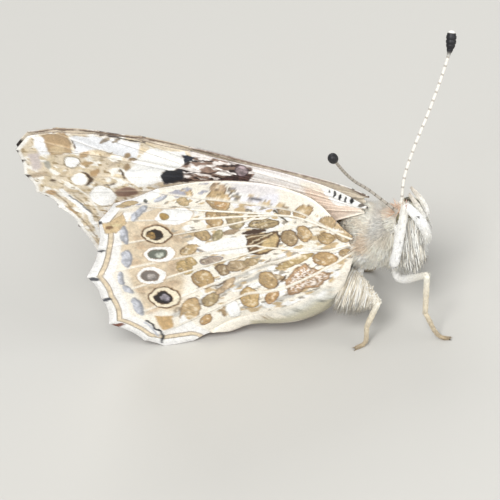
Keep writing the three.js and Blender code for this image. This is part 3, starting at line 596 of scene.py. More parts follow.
def paint_forewing(canvas, edge, vein):
    """The underside's tip and front edge. What the hindwing covers is plain pinkish orange."""
    tip = [(-11.0, 17.0), (-16.5, 16.6), (-20.2, 11.0), (-24.0, 11.0),
           (-27, 14), (-27, 27), (-8.0, 27.0), (-8.0, 17.2)]
    canvas.patch(tip, "DCCDB4", soft=0.3)
    canvas.marble(tip, "F8F4EA", 0.8, 4.0, -0.1, 0.35, 155, 1.6)
    canvas.marble(tip, "D6C5A6", 0.42, 9.0, 0.1, 0.5, 155, 1.8)
    canvas.marble(tip, "A48F6C", 0.26, 7.0, 0.45, 0.8, 155, 2)
    canvas.patch([(4.0, 12.5), (-6.0, 16.8), (-10.6, 19.3), (-11.4, 21.5), (2.0, 16.0)], "EFE8E4", soft=0.15)
    canvas.patch([(3.0, 12.2), (-2.5, 14.6), (-8.0, 16.2), (-11.5, 17.2), (-11.0, 15.0), (-3.0, 10.0)],
                 "F0DCCA", soft=0.3)
    canvas.patch([(-9.6, 18.6), (-3.0, 15.8), (-3.0, 13.9), (-8.0, 15.8)], "F9F6F3", soft=0.3)
    canvas.patch([(-17.7, 22.0), (-19.9, 22.0), (-19.9, 23.9), (-17.7, 23.5), (-14.5, 22.0), (-15.5, 20.0)],
                 "EDEEF0", soft=0.15)
    canvas.patch([(-22.0, 24.4), (-20.1, 24.4), (-20.2, 22.2), (-21.9, 22.2)], "B79C78", SEPIA, 0.04, 0.1)
    canvas.patch([(-21.8, 23.1), (-20.6, 23.1), (-20.6, 22.3), (-21.6, 22.3)], "CCB590", soft=0.12)
    canvas.patch([(-22.8, 24.3), (-22.0, 24.2), (-22.0, 22.3), (-22.8, 22.3)], "F7F7F8", soft=0.12)
    canvas.patch([(-23.7, 22.7), (-22.8, 22.7), (-23.1, 20.9), (-23.9, 20.9)], "CFC3BD", soft=0.15)
    for x, z, long, short, turn, code in [
            (-19.3, 21.7, 0.5, 0.3, 20, "B79C78"), (-19.3, 20.7, 0.55, 0.22, 0, "B39770"),
            (-19.0, 19.6, 0.5, 0.3, 30, "AE9069"), (-17.6, 21.2, 0.8, 0.16, 20, "B7A68C"),
            (-17.2, 20.2, 0.7, 0.14, 15, "BFAF98"), (-22.5, 21.2, 0.3, 0.5, 0, "A8A497"),
            (-22.6, 19.5, 0.25, 0.15, 0, "5C4A38"), (-23.6, 20.3, 0.9, 0.3, 0, "B9A68C"),
            (-23.1, 18.1, 0.4, 0.35, 0, "C2A078"), (-22.1, 15.8, 0.22, 0.4, 20, "B89A70"),
            (-17.2, 22.9, 0.5, 0.15, 20, "8F8272"), (-16.3, 22.7, 0.4, 0.12, 20, "8F8272"),
            (-15.9, 20.9, 0.45, 0.25, 40, "A08868"), (-15.6, 20.4, 0.4, 0.2, 0, "8A7355"),
            (-16.3, 19.6, 0.5, 0.25, 60, "A08868"), (-21.5, 20.0, 0.5, 0.2, 10, "C9B697"),
            (-21.3, 18.0, 0.6, 0.2, -10, "C9B697"), (-20.6, 17.9, 0.4, 0.2, 0, "BBA786")]:
        canvas.oval(x, z, long, short, turn, code, soft=0.1)
    canvas.patch([(-16.8, 18.8), (-15.6, 19.8), (-15.0, 20.6), (-13.9, 21.3), (-11.2, 20.4), (-11.2, 19.2),
                  (-12.1, 18.8), (-13.8, 18.5), (-13.8, 17.6), (-16.0, 17.4)], WHITE, soft=0.07)
    canvas.stroke([(-16.5, 19.1), (-12.0, 19.1)], 0.06, "B9BBC0", strength=0.7)
    canvas.stroke([(-16.9, 19.4), (-16.8, 18.6)], 0.16, UMBER)
    canvas.oval(-17.1, 17.0, 0.85, 0.5, 0, "8B6F5F", "A88C78", 0.12)
    canvas.stroke([(-18.0, 23.8), (-14.1, 22.0)], 0.16, "3A3230")
    canvas.stroke([(-19.8, 23.4), (-19.8, 22.5)], 0.14, "6B5A48")
    canvas.stroke([(-18.6, 18.2), (-17.8, 18.2)], 0.14, "6B5A48")
    canvas.lay(vein - 0.05, "CDBFA6", 0.05, 0.35)
    # White spots and the black bar before them
    canvas.oval(-20.5, 21.1, 0.58, 0.55, 0, WHITE, "8C7B5E", 0.12)
    canvas.oval(-19.95, 19.1, 0.55, 0.7, 0, UMBER, soft=0.08)
    canvas.oval(-20.4, 19.15, 0.65, 0.62, 0, WHITE, "CDBA98", 0.06)
    canvas.oval(-19.1, 17.0, 1.05, 1.15, 0, WHITE, "A99879", 0.08)
    # The marbled band before it: brown and black with white streaks, from the blotch up to the front edge
    band = [(-11.62, 20.16), (-10.57, 19.88), (-9.56, 19.49), (-7.63, 18.42), (-6.45, 17.61), (-6.4, 16.83),
            (-7.78, 15.94), (-9.32, 16.44), (-10.84, 17.0), (-12.47, 17.17), (-13.85, 17.28), (-13.71, 18.26),
            (-12.3, 18.75), (-11.29, 19.33)]
    canvas.patch(band, "8C7364", soft=0.08, mottle=0.25)
    canvas.marble(band, "F2EAE4", 0.3, 2.5, -0.12, 0.2, 158, 3)
    canvas.marble(band, "33241F", 0.26, 5.5, 0.25, 0.5, 158, 3)
    canvas.patch([(-13.9, 18.2), (-13.3, 18.75), (-11.95, 18.5), (-12.2, 17.5), (-12.9, 17.3), (-13.8, 17.45)],
                 "1F2026", "3A3230", 0.05)
    canvas.patch([(-11.5, 20.2), (-10.6, 19.9), (-10.9, 19.35), (-11.5, 19.2)], "1E2330", soft=0.06)
    canvas.stroke([(-10.9, 19.3), (-10.0, 19.25), (-9.3, 19.1)], 0.14, "2A2320")
    canvas.patch([(-9.3, 16.9), (-8.1, 17.2), (-6.7, 16.95), (-7.2, 16.1), (-8.8, 16.1)],
                 "4E3630", "2B1F1C", 0.05, mottle=0.5)
    canvas.stroke([(-12.0, 18.15), (-10.2, 18.0), (-9.2, 17.7)], 0.12, "3B2C26")
    canvas.stroke([(-10.7, 18.6), (-9.2, 18.6)], 0.26, "F0E8E2", 0.08)
    canvas.oval(-8.7, 17.45, 0.75, 0.2, -14, "EFEAE4", "8A7A72", 0.05)
    canvas.oval(-7.3, 17.55, 0.45, 0.5, 20, "9B8A8C", "4A373A", 0.1, mottle=0.4)
    # White front edge with slanting black crossbars near the root
    canvas.patch([(-1.62, 14.64), (2.98, 12.04), (2.78, 11.44), (0.78, 11.64), (-1.12, 12.54)],
                 WHITE, soft=0.06)
    for x, z, long, short in [(-0.97, 13.94, 0.16, 0.07), (-0.67, 13.54, 0.42, 0.13), (-0.32, 13.14, 0.36, 0.1),
                              (0.03, 12.79, 0.34, 0.11), (0.53, 12.54, 0.3, 0.12)]:
        canvas.oval(x, z, long, short, 65, "17171A")
    canvas.oval(1.18, 11.94, 0.35, 0.2, 0, "6E675E")
    canvas.oval(1.58, 11.49, 0.16, 0.14, 0, "17171A")
    # The outer margin: a lilac-grey line, white streaks, and a fringe checked dark where the veins end
    canvas.stroke([(-22.2, 18.3), (-21.9, 17.3), (-20.8, 15.2), (-20.6, 12.6)], 0.42, WHITE)
    canvas.stroke([(-21.75, 17.5), (-21.0, 16.1), (-20.5, 15.2)], 0.14, "6A6C72")
    canvas.stroke([(-23.3, 17.6), (-22.0, 15.0), (-21.4, 11.0)], 0.42, WHITE)
    canvas.stroke([(-23.0, 18.3), (-22.2, 16.6), (-21.3, 14.2), (-20.9, 12.0)], 0.1, "8A7355", 0.04, 0.8)
    canvas.stroke([(-21.5, 17.9), (-20.9, 16.4), (-20.2, 14.6)], 0.12, "A3906F", 0.05, 0.8)
    canvas.stroke([(-20.9, 18.4), (-20.2, 16.9), (-19.9, 15.2)], 0.2, "F7F3EA", 0.06, 0.8)
    canvas.oval(-21.7, 12.5, 0.3, 0.2, 0, SEPIA)
    canvas.oval(-21.3, 11.9, 0.25, 0.2, 0, "A08058")
    canvas.lay(edge - 0.3, "F6F3EC", 0.06, 0.9)
    for x, z, long, short, code in [(-24.6, 23.1, 0.32, 0.14, "4A4038"), (-24.5, 22.0, 0.35, 0.16, "4A4038"),
                                    (-24.5, 20.3, 0.35, 0.2, "4A4038"), (-24.6, 19.4, 0.3, 0.16, "57493C"),
                                    (-23.85, 17.7, 0.32, 0.2, "4E3B28"), (-23.2, 16.6, 0.3, 0.16, "5C5048"),
                                    (-22.2, 14.0, 0.3, 0.18, "5C5048")]:
        canvas.oval(x, z, long, short, 0, code)


rose_scales = scale_material("wing_scales_rose")
for word, side in [("right", -1), ("left", 1)]:
    wing_sheet(FOREWING, paint_forewing, side, f"forewing_{word}_scaled", rose_scales,
               f"forewing_{word}")


# Body
# Thorax, head and abdomen are one leathery skin of plates joined by membrane. It carries all the hair, and
# hardly any of it shows, so here it is one closed surface fused from the rounded forms it is made of.

CHEST = {"centre": (3.0, 0.0, 6.4), "length": 3.5, "width": 3.7, "height": 3.9, "pitch": 0}
HEAD = {"centre": (4.3, 0.0, 9.6), "length": 2.3, "width": 2.3, "height": 2.4, "pitch": 35, "yaw": -10}
COAT = {"body": 0.55, "head": 0.3, "abdomen": 0.25}
ABDOMEN_RINGS = {"count": 9, "step": 0.12, "tip": 0.15}
NECK = {"line": [(2.2, 0, 9.2), (4.1, 0, 9.5)], "radius": 0.8}


def turn_with(form, offsets):
    """Offsets turned as the form is: pitched nose up, then yawed."""
    pitch, yaw = math.radians(form["pitch"]), math.radians(form.get("yaw", 0))
    x, y, z = np.asarray(offsets, dtype=float).T
    x, z = x * math.cos(pitch) - z * math.sin(pitch), x * math.sin(pitch) + z * math.cos(pitch)
    return np.stack([x * math.cos(yaw) - y * math.sin(yaw), x * math.sin(yaw) + y * math.cos(yaw), z], axis=1)


def ball(form, shrink, steps=40):
    """A rounded form as rings of quads with a point at each end."""
    turns = np.linspace(0, 2 * math.pi, steps, endpoint=False)
    rings = [[(math.cos(lift), math.sin(lift) * math.cos(turn), math.sin(lift) * math.sin(turn))
              for turn in turns]
             for lift in np.linspace(0, math.pi, steps // 2 + 1)[1:-1]]
    unit = np.vstack([[(1, 0, 0)], *rings, [(-1, 0, 0)]])
    half = np.array([form["length"], form["width"], form["height"]]) / 2 - shrink
    points = turn_with(form, unit * half) + form["centre"]
    faces = []
    for ring in range(len(rings) - 1):
        for place in range(steps):
            a, b = 1 + ring * steps + place, 1 + ring * steps + (place + 1) % steps
            faces.append((a, a + steps, b + steps, b))
    last = 1 + (len(rings) - 1) * steps
    faces += [(0, 1 + place, 1 + (place + 1) % steps) for place in range(steps)]
    faces += [(len(unit) - 1, last + (place + 1) % steps, last + place) for place in range(steps)]
    return points, faces


def tube(line, radii, sides, squash=1.0, side_hint=(0, 1, 0)):
    """A closed round form along a line, its first and last rings closed by a fan."""
    line = np.asarray(line, dtype=float)
    ahead = np.gradient(line, axis=0)
    ahead /= np.linalg.norm(ahead, axis=1)[:, None]
    across = np.cross(ahead, side_hint)
    across /= np.linalg.norm(across, axis=1)[:, None]
    upward = np.cross(ahead, across)
    turns = np.linspace(0, 2 * math.pi, sides, endpoint=False)
    points = np.vstack([place + radius * (np.outer(np.cos(turns), a) + np.outer(np.sin(turns), u) * squash)
                        for place, radius, a, u in zip(line, radii, across, upward)])
    points = np.vstack([points, line[:1], line[-1:]])
    faces = []
    for ring in range(len(line) - 1):
        for place in range(sides):
            a, b = ring * sides + place, ring * sides + (place + 1) % sides
            faces.append((a, b, b + sides, a + sides))
    end = (len(line) - 1) * sides
    faces += [(len(points) - 2, (place + 1) % sides, place) for place in range(sides)]
    faces += [(len(points) - 1, end + place, end + (place + 1) % sides) for place in range(sides)]
    return points, faces


def along_line(knots, count):
    """Evenly spaced places on a smooth line through the knots."""
    knots = np.asarray(knots, dtype=float)
    padded = np.vstack([2 * knots[0] - knots[1], knots, 2 * knots[-1] - knots[-2]])
    pieces = []
    for k in range(1, len(padded) - 2):
        t = np.linspace(0, 1, 24, endpoint=False)[:, None]
        a, b, c, d = padded[k - 1:k + 3]
        pieces.append(0.5 * (2 * b + (c - a) * t + (2 * a - 5 * b + 4 * c - d) * t ** 2
                             + (3 * b - a - 3 * c + d) * t ** 3))
    dense = np.vstack([*pieces, knots[-1:]])
    run = np.concatenate([[0], np.cumsum(np.linalg.norm(np.diff(dense, axis=0), axis=1))])
    marks = np.linspace(0, run[-1], count)
    return np.stack([np.interp(marks, run, dense[:, axis]) for axis in range(3)], axis=1)


def fused(parts, voxel, rounds):
    """One closed surface round several overlapping forms, smoothed."""
    points, faces = [], []
    for more, sides in parts:
        faces += [tuple(corner + len(points) for corner in face) for face in sides]
        points += list(more)
    mesh = bpy.data.meshes.new("rough")
    mesh.from_pydata((np.array(points) * MM).tolist(), [], faces)
    rough = bpy.data.objects.new("rough", mesh)
    bpy.context.collection.objects.link(rough)
    remesh = rough.modifiers.new("remesh", "REMESH")
    remesh.mode = "VOXEL"
    remesh.voxel_size = voxel * MM
    soften = rough.modifiers.new("soften", "SMOOTH")
    soften.iterations = rounds
    found = rough.evaluated_get(bpy.context.evaluated_depsgraph_get()).to_mesh()
    places = np.empty(len(found.vertices) * 3)
    found.vertices.foreach_get("co", places)
    normals = np.empty(len(found.vertices) * 3)
    found.vertices.foreach_get("normal", normals)
    faces = [tuple(polygon.vertices) for polygon in found.polygons]
    bpy.data.objects.remove(rough)
    return places.reshape(-1, 3) / MM, faces, normals.reshape(-1, 3)


axis = abdomen_axis()
abdomen_line = along_line(np.insert(axis, 1, 0, axis=1), 90)
abdomen_share = np.linspace(0, 1, 90)
segment = (abdomen_share * ABDOMEN_RINGS["count"]) % 1
abdomen_radii = abdomen_radius(abdomen_share) - COAT["abdomen"]
abdomen_radii -= ABDOMEN_RINGS["step"] * segment * smooth(abdomen_share, 0.05, 0.2)
abdomen_radii[-1] = ABDOMEN_RINGS["tip"]
skin_points, skin_faces, skin_normals = fused(
    [ball(THORAX, COAT["body"]), ball(CHEST, COAT["body"]), ball(HEAD, COAT["head"]),
     tube(abdomen_line, abdomen_radii, 32),
     tube(along_line(NECK["line"], 8), [NECK["radius"]] * 8, 20)], 0.13, 4)


def body_colour(points):
    """The coat's colours: cream, with an orange collar, a grey shoulder and a tan patch under the wing."""
    x, _, z = points.T
    colours = np.tile(colour_of("FBF3E4"), (len(points), 1))
    turn = math.radians(THORAX["pitch"])
    up = (z - THORAX["centre"][2]) * math.cos(turn) - (x - THORAX["centre"][0]) * math.sin(turn)

    def blend(code, share):
        colours[:] += (colour_of(code) - colours) * np.clip(share, 0, 1)[:, None]

    blend("E6D9C0", smooth(up, 1.5, 2.8) * 0.7)
    blend("C6C4BE", (1 - smooth(np.hypot(x - 2.3, z - 9.9), 0.3, 0.9)) * 0.7)
    blend("D6B48C", (1 - smooth(np.hypot(x - 1.2, z - 9.3), 0.2, 0.9)) * 0.6)
    blend("FFFBF2", smooth(-z, -8.0, -5.6) * 0.6)
    blend("E39C5A", (1 - smooth(np.abs(x - 3.4), 0.5, 1.1)) * smooth(z, 10.0, 10.5))
    blend("FFFDF8", smooth(x, 3.3, 4.2) * (1 - smooth(z, 8.6, 9.6)) * 0.6)
    patchy = np.array([noise.noise(Vector(point) * 1.6) for point in points])
    blend("D9CDB6", smooth(patchy, 0.1, 0.5) * 0.45)
    blend("FFFFFA", smooth(-patchy, 0.1, 0.5) * 0.4)
    tail = smooth(-x, 0.6, 2.0)
    blend("DCCDB4", tail * 0.8)
    blend("8A7862", tail * smooth(z - np.interp(-x, -axis[:, 0], axis[:, 1]), 0.2, 1.3) * 0.8)
    return colours


# Hide under hair: dull chitin plates, almost black where they are bare, with pale hair bases all over. They
# show as fine streaks drawn out along the body.

def grained_material(name, grain, shade, bump, finish, stretch=None):
    """The piece's own colours under a grain that shades them between two levels and raises the surface."""
    material, tree = new_material(name)
    paint = add_node(tree, "ShaderNodeAttribute", {"attribute_name": "markings"})
    place = add_node(tree, "ShaderNodeTexCoord").outputs["Object"]
    if stretch:
        place = add_node(tree, "ShaderNodeMapping", {"Scale": stretch}, {"Vector": place}).outputs["Vector"]
    noise_grain = add_node(tree, "ShaderNodeTexNoise", grain, {"Vector": place}).outputs["Fac"]
    level = add_node(tree, "ShaderNodeMapRange",
                     {"From Min": 0.3, "From Max": 0.7, "To Min": shade[0], "To Max": shade[1]},
                     {"Value": noise_grain})
    tinted = add_node(tree, "ShaderNodeVectorMath", {"operation": "SCALE"},
                      {0: paint.outputs["Color"], "Scale": level.outputs["Result"]})
    raised = add_node(tree, "ShaderNodeBump", {"Strength": bump[0], "Distance": bump[1] * MM},
                      {"Height": noise_grain})
    shader = add_node(tree, "ShaderNodeBsdfPrincipled", {"IOR": 1.5, **finish},
                      {"Base Color": tinted.outputs["Vector"], "Normal": raised.outputs["Normal"]})
    add_node(tree, "ShaderNodeOutputMaterial", {}, {"Surface": shader.outputs["BSDF"]})
    return material


hide = grained_material("hide_under_hair", {"Scale": 1.6, "Detail": 5, "Roughness": 0.7}, (0.78, 1.0),
                        (0.6, 0.06), {"Roughness": 0.7}, (900, 2600, 1600))
make_piece("body_skin", skin_points, skin_faces, hide, ["thorax", "head", "abdomen"],
           body_colour(skin_points))


# Coat of the thorax, head and abdomen
# Long soft hair on the thorax and throat, shorter on the head, close and scaly on the abdomen. Each tuft is a
# flat tapered lock rooted in the skin, laid back and down as the real hair lies.

TUFT_BEND = 0.25


def tufts(roots, normals, flows, lengths, widths, lift, colours, tip_colours, patches):
    """Locks of three bands and a tip: points, faces, colours and bake map for all of them."""
    count = len(roots)
    flows = flows - normals * np.sum(flows * normals, axis=1)[:, None]
    flows /= np.maximum(np.linalg.norm(flows, axis=1), 1e-6)[:, None]
    across = np.cross(flows, normals)
    lengths, widths = np.broadcast_to(lengths, count)[:, None], np.broadcast_to(widths, count)[:, None]
    lift = np.broadcast_to(lift, count)[:, None]
    points = np.empty((count, 10, 3))
    shades = np.empty((count, 10, 3))
    spots = np.empty((count, 10, 2))
    for ring, (step, breadth) in enumerate([(-0.12, 0.7), (0.35, 1.0), (0.75, 0.62)]):
        rise = lift * step - TUFT_BEND * lift * step * abs(step)
        centre = roots + lengths * (flows * step * (1 - 0.4 * lift) + normals * rise)
        wide = widths * breadth / 2
        points[:, ring * 3] = centre - across * wide
        points[:, ring * 3 + 1] = centre + normals * wide * 0.6
        points[:, ring * 3 + 2] = centre + across * wide
        for corner in range(3):
            shades[:, ring * 3 + corner] = colours + (tip_colours - colours) * max(step, 0)
            spots[:, ring * 3 + corner] = patches + ((corner - 1) * 0.0011, (step - 0.5) * 0.0022)
    points[:, 9] = roots + lengths * (flows * (1 - 0.4 * lift) + normals * lift * (1 - TUFT_BEND))
    shades[:, 9] = tip_colours
    spots[:, 9] = patches + (0, 0.0012)
    pattern = [(2, 1, 0)]
    for ring in (0, 3):
        for corner in range(3):
            a, b = ring + corner, ring + (corner + 1) % 3
            pattern += [(b + 3, a + 3, a), (b, b + 3, a)]
    pattern += [(7, 9, 6), (8, 9, 7), (6, 9, 8)]
    faces = (np.arange(count)[:, None, None] * 10 + np.array(pattern)).reshape(-1, 3)
    return points.reshape(-1, 3), faces, shades.reshape(-1, 3), spots.reshape(-1, 2)


def scatter(points, faces, normals, count, draw, wanted=None):
    """Places spread evenly over a skin's faces, with the skin's normal at each."""
    corners = np.array([face[:3] for face in faces])
    a, b, c = points[corners[:, 0]], points[corners[:, 1]], points[corners[:, 2]]
    area = np.linalg.norm(np.cross(b - a, c - a), axis=1)
    if wanted is not None:
        area = area * wanted((a + b + c) / 3)
    chosen = draw.choice(len(corners), size=count, p=area / area.sum())
    u, v = draw.random((2, count, 1))
    roots = a[chosen] + (b[chosen] - a[chosen]) * u + (c[chosen] - a[chosen]) * v
    turned = normals[corners[chosen]].mean(axis=1)
    return roots, turned / np.linalg.norm(turned, axis=1)[:, None]


def body_patch(roots, normals):
    """The tufts' places on the skin's unwrap: along the body, and round it from the belly."""
    turn = np.arctan2(normals[:, 1], -normals[:, 2]) / (2 * math.pi) + 0.5
    return np.stack([0.03 + 0.94 * np.clip((roots[:, 0] + 14) / 21, 0, 1), 0.03 + 0.94 * turn], axis=1)


def body_flow(roots, draw, stray):
    """How the coat lies: back over the shoulders, down the sides and the throat, up on the crown."""
    x, _, z = roots.T
    low = (1 - smooth(z, 7.4, 9.6))[:, None]
    throat = smooth(x, 2.2, 3.6)[:, None] * low
    crown = (smooth(x, 2.6, 3.3) * smooth(z, 9.8, 10.5))[:, None]
    flow = np.array([-0.92, 0, -0.25]) * (1 - low) + np.array([-0.55, 0, -0.8]) * low
    flow = flow * (1 - throat) + np.array([-0.12, 0, -1.0]) * throat
    flow = flow * (1 - crown) + np.array([-0.35, 0, 0.75]) * crown
    wander = np.array([[noise.noise(Vector((x * 1.1 + shift, y * 1.1, z * 1.1))) for shift in (0, 31.4, 67.8)]
                       for x, y, z in roots]) * 0.35
    return flow + wander + draw.normal(0, stray, (len(roots), 3))


# Insect hair: hollow and finely ribbed chitin, so it is pale, dry and slightly silky.

hair = grained_material("insect_hair", {"Scale": 4200, "Detail": 3}, (0.9, 1.08), (0.25, 0.02),
                        {"Roughness": 0.6, "Sheen Weight": 0.4, "Sheen Roughness": 0.4})


def body_coat(name, seed, count, wanted, length, width, lift, stray):
    """One region's tufts, shorter on the shoulder's upper side under the wings."""
    draw = np.random.default_rng(seed)
    roots, normals = scatter(skin_points, skin_faces, skin_normals, count, draw, wanted)
    low = 1 - 0.75 * smooth(normals[:, 2], 0.25, 0.75) * (1 - smooth(roots[:, 0], 2.2, 2.9))
    spread = draw.uniform(0.7, 1.2, count) * (0.3 + 0.7 * low)
    shades = body_colour(roots) * draw.uniform(0.9, 1.08, (count, 1))
    points, faces, colours, patches = tufts(
        roots, normals, body_flow(roots, draw, stray), length * spread, width * draw.uniform(0.7, 1.2, count),
        lift * low * draw.uniform(0.6, 1.3, count), shades * 0.92, np.minimum(shades * 1.12, 1),
        body_patch(roots, normals))
    make_piece(name, points, faces, hair, (), colours, patches)


def on_thorax(places):
    x, _, z = places.T
    return smooth(x, -2.6, -1.2) * (1 - smooth(x, 3.6, 4.4) * smooth(z, 8.8, 9.6)) * smooth(z, 7.6, 8.4)


def on_throat(places):
    x, _, z = places.T
    return smooth(x, -2.4, -0.6) * (1 - smooth(z, 7.6, 8.4))


def on_head(places):
    x, _, z = places.T
    return smooth(x, 3.6, 4.2) * smooth(z, 8.6, 9.2)


def on_abdomen(places):
    return 1 - smooth(places[:, 0], -2.0, -0.8)


body_coat("coat_thorax", 11, 12000, on_thorax, 1.5, 0.062, 0.34, 0.13)
body_coat("coat_throat", 12, 12000, on_throat, 1.7, 0.06, 0.3, 0.11)
body_coat("coat_head", 13, 4500, on_head, 0.6, 0.045, 0.6, 0.25)
body_coat("coat_abdomen", 14, 7000, on_abdomen, 0.55, 0.1, 0.22, 0.12)


# Eyes
# Each is a dome of thousands of lenses, mottled olive grey, set in the side of the head. The facets are
# about 0.02 mm across, too fine for the picture, so they are drawn at 0.06 mm.

EYE = {"forward": 0.3, "side": 0.88, "up": 0.05, "length": 1.6, "width": 1.35, "height": 1.9}
FACET = 0.06


def eye_material():
    material, tree = new_material("facetted_cornea")
    place = add_node(tree, "ShaderNodeTexCoord")
    facets = add_node(tree, "ShaderNodeTexVoronoi", {"Scale": 1 / (FACET * MM), "Randomness": 0.15},
                      {"Vector": place.outputs["Object"]})
    cloud = add_node(tree, "ShaderNodeTexNoise", {"Scale": 2200, "Detail": 2},
                     {"Vector": place.outputs["Object"]})
    ramp = add_node(tree, "ShaderNodeValToRGB", {}, {"Fac": cloud.outputs["Fac"]})
    for element, (stop, code) in zip(ramp.color_ramp.elements, [(0.38, "3B3428"), (0.62, "8A8262")]):
        element.position = stop
        element.color = (*colour_of(code), 1)
    bump = add_node(tree, "ShaderNodeBump", {"Strength": 0.5, "Distance": 0.00002, "invert": True},
                    {"Height": facets.outputs["Distance"]})
    shader = add_node(tree, "ShaderNodeBsdfPrincipled", {"Roughness": 0.28, "IOR": 1.5},
                      {"Base Color": ramp.outputs["Color"], "Normal": bump.outputs["Normal"]})
    add_node(tree, "ShaderNodeOutputMaterial", {}, {"Surface": shader.outputs["BSDF"]})
    return material


cornea = eye_material()
for word, side in [("right", -1), ("left", 1)]:
    seat = turn_with(HEAD, [(EYE["forward"], EYE["side"] * side, EYE["up"])])[0] + HEAD["centre"]
    eye_points, eye_faces = ball({**EYE, "centre": seat, "pitch": HEAD["pitch"], "yaw": HEAD["yaw"]}, 0.02, 64)
    make_piece(f"eye_{word}_facets", eye_points, eye_faces, cornea, [f"eye_{word}"])


# Palps
# Two furry feelers of three joints curve up before the face, one each side of the coiled tongue. They are
# scaled like the body, white below and grey-brown at the tip.

PALP = {"forward": 0.3, "side": 0.45, "down": 1.0, "radii": [0.2, 0.22, 0.2, 0.08]}


def read_off(shares, row):
    """Places or colours at the given shares of a row of evenly spaced ones."""
    row = np.asarray(row, dtype=float)
    marks = np.linspace(0, 1, len(row))
    return np.stack([np.interp(shares, marks, column) for column in row.T], axis=1)


def fur_round(line, radii, count, draw, stray, lengths, widths, lift, tones):
    """Tufts over a round limb: rooted at its skin and lying along it, shaded from its base to its tip."""
    share = draw.random(count)
    centres = read_off(share, line)
    flow = read_off(share, np.gradient(line, axis=0))
    flow /= np.linalg.norm(flow, axis=1)[:, None]
    normals = draw.normal(0, 1, (count, 3))
    normals -= flow * np.sum(normals * flow, axis=1)[:, None]
    normals /= np.linalg.norm(normals, axis=1)[:, None]
    roots = centres + normals * np.interp(share, np.linspace(0, 1, len(line)), radii)[:, None] * 0.92
    shades = read_off(share, [colour_of(tone) for tone in tones]) * draw.uniform(0.88, 1.1, (count, 1))
    turn = np.arctan2(normals[:, 1], normals[:, 0]) / (2 * math.pi) + 0.5
    patches = np.stack([0.03 + 0.94 * share, 0.03 + 0.94 * turn], axis=1)
    return tufts(roots, normals, flow + draw.normal(0, stray, (count, 3)),
                 lengths * draw.uniform(0.7, 1.2, count), widths * draw.uniform(0.7, 1.2, count), lift,
                 shades * 0.92, np.minimum(shades * 1.1, 1), patches)


def line_colour(points, line, tones):
    """Colours along a limb, from its base to its tip."""
    nearest = np.argmin(np.linalg.norm(points[:, None] - line[None], axis=2), axis=1) / (len(line) - 1)
    return read_off(nearest, [colour_of(tone) for tone in tones])


PALP_TONES = ["FFFDF8", "FBF8F1", "F1ECE2", "CFC4B4"]
for number, (word, side) in enumerate([("right", -1), ("left", 1)]):
    out = PALP["side"] * side
    knots = turn_with(HEAD, [(PALP["forward"] - 0.1, out, -PALP["down"] - 0.1),
                             (PALP["forward"] + 0.9, out * 1.05, -PALP["down"] + 0.1),
                             (PALP["forward"] + 1.65, out, 0.2), (PALP["forward"] + 2.15, out * 0.8, 1.55)])
    line = along_line(knots + HEAD["centre"], 40)
    radii = np.interp(np.linspace(0, 1, 40), [0, 0.35, 0.7, 1], PALP["radii"])
    points, faces = tube(line, radii, 16)
    make_piece(f"palp_{word}_skin", points, faces, hide, [f"palp_{word}"],
               line_colour(points, line, PALP_TONES))
    points, faces, colours, patches = fur_round(line, radii, 900, np.random.default_rng(31 + number), 0.1, 0.3,
                                                0.09, 0.1, PALP_TONES)
    make_piece(f"palp_{word}_coat", points, faces, hair, (), colours, patches)


# Strands of the throat
# Long pale locks hang from the cheeks and palps down over the throat, between the limbs of the lifted foreleg.

STRAND_TOPS = [(3.6, 1.75, 10.3), (4.2, 1.75, 10.2), (5.0, 1.75, 10.9), (5.6, 1.7, 10.6)]
STRAND_TIPS = [(2.8, 1.9, 5.9), (3.2, 1.95, 5.0), (3.9, 1.9, 4.7), (4.7, 1.75, 5.6)]
STRAND_TONES = {"FFFEF8": 0.45, "F6F0E2": 0.25, "DAD5CA": 0.2, "B8B4AC": 0.1}


def loose_locks(draw, roots, reach, facing, stray, tones, root_shade, widths, lift, along, down=None):
    """Locks from their roots along their reach with the flat side facing out, in tones mixed by share."""
    count = len(roots)
    lengths = np.linalg.norm(reach, axis=1)
    normals = np.tile(facing, (count, 1)) + draw.normal(0, stray, (count, 3))
    normals -= reach * (np.sum(normals * reach, axis=1) / lengths ** 2)[:, None]
    normals /= np.linalg.norm(normals, axis=1)[:, None]
    streak = draw.choice(len(tones), size=count, p=list(tones.values()))
    shades = np.array([colour_of(code) for code in tones])[streak]
    if down is None:
        down = draw.uniform(0.1, 0.9, count)
    patches = np.stack([0.05 + 0.9 * along, down], axis=1)
    return tufts(roots, normals, reach / lengths[:, None], lengths, draw.uniform(*widths, count), lift,
                 shades * root_shade, shades, patches)


for number, (word, side) in enumerate([("right", -1), ("left", 1)]):
    draw = np.random.default_rng(70 + number)
    count = 900
    across = draw.random(count)
    tops, ends = read_off(across, STRAND_TOPS), read_off(across, STRAND_TIPS)
    down = draw.uniform(0 if side < 0 else 0.3, 0.55, count)[:, None]
    roots = tops + (ends - tops) * down + draw.normal(0, (0.1, 0.16, 0.1), (count, 3))
    reach = (ends - tops) * draw.uniform(0.3, 0.5, count)[:, None]
    reach += draw.normal(0, (0.12, 0.08, 0.05), (count, 3))
    roots[:, 1] *= side
    reach[:, 1] *= side
    points, faces, colours, patches = loose_locks(
        draw, roots, reach, (0.3, side * 0.95, 0.1), 0.15, STRAND_TONES, 0.95, (0.1, 0.2), 0.04, across,
        0.1 + 1.4 * down[:, 0])
    make_piece(f"throat_strands_{word}", points, faces, hair, (), colours, patches)


# Antennae
# A stiff jointed thread of some forty rings, ringed dark and white, that ends in a flattened black club with a
# pale tip. It stands in a socket between the eyes.

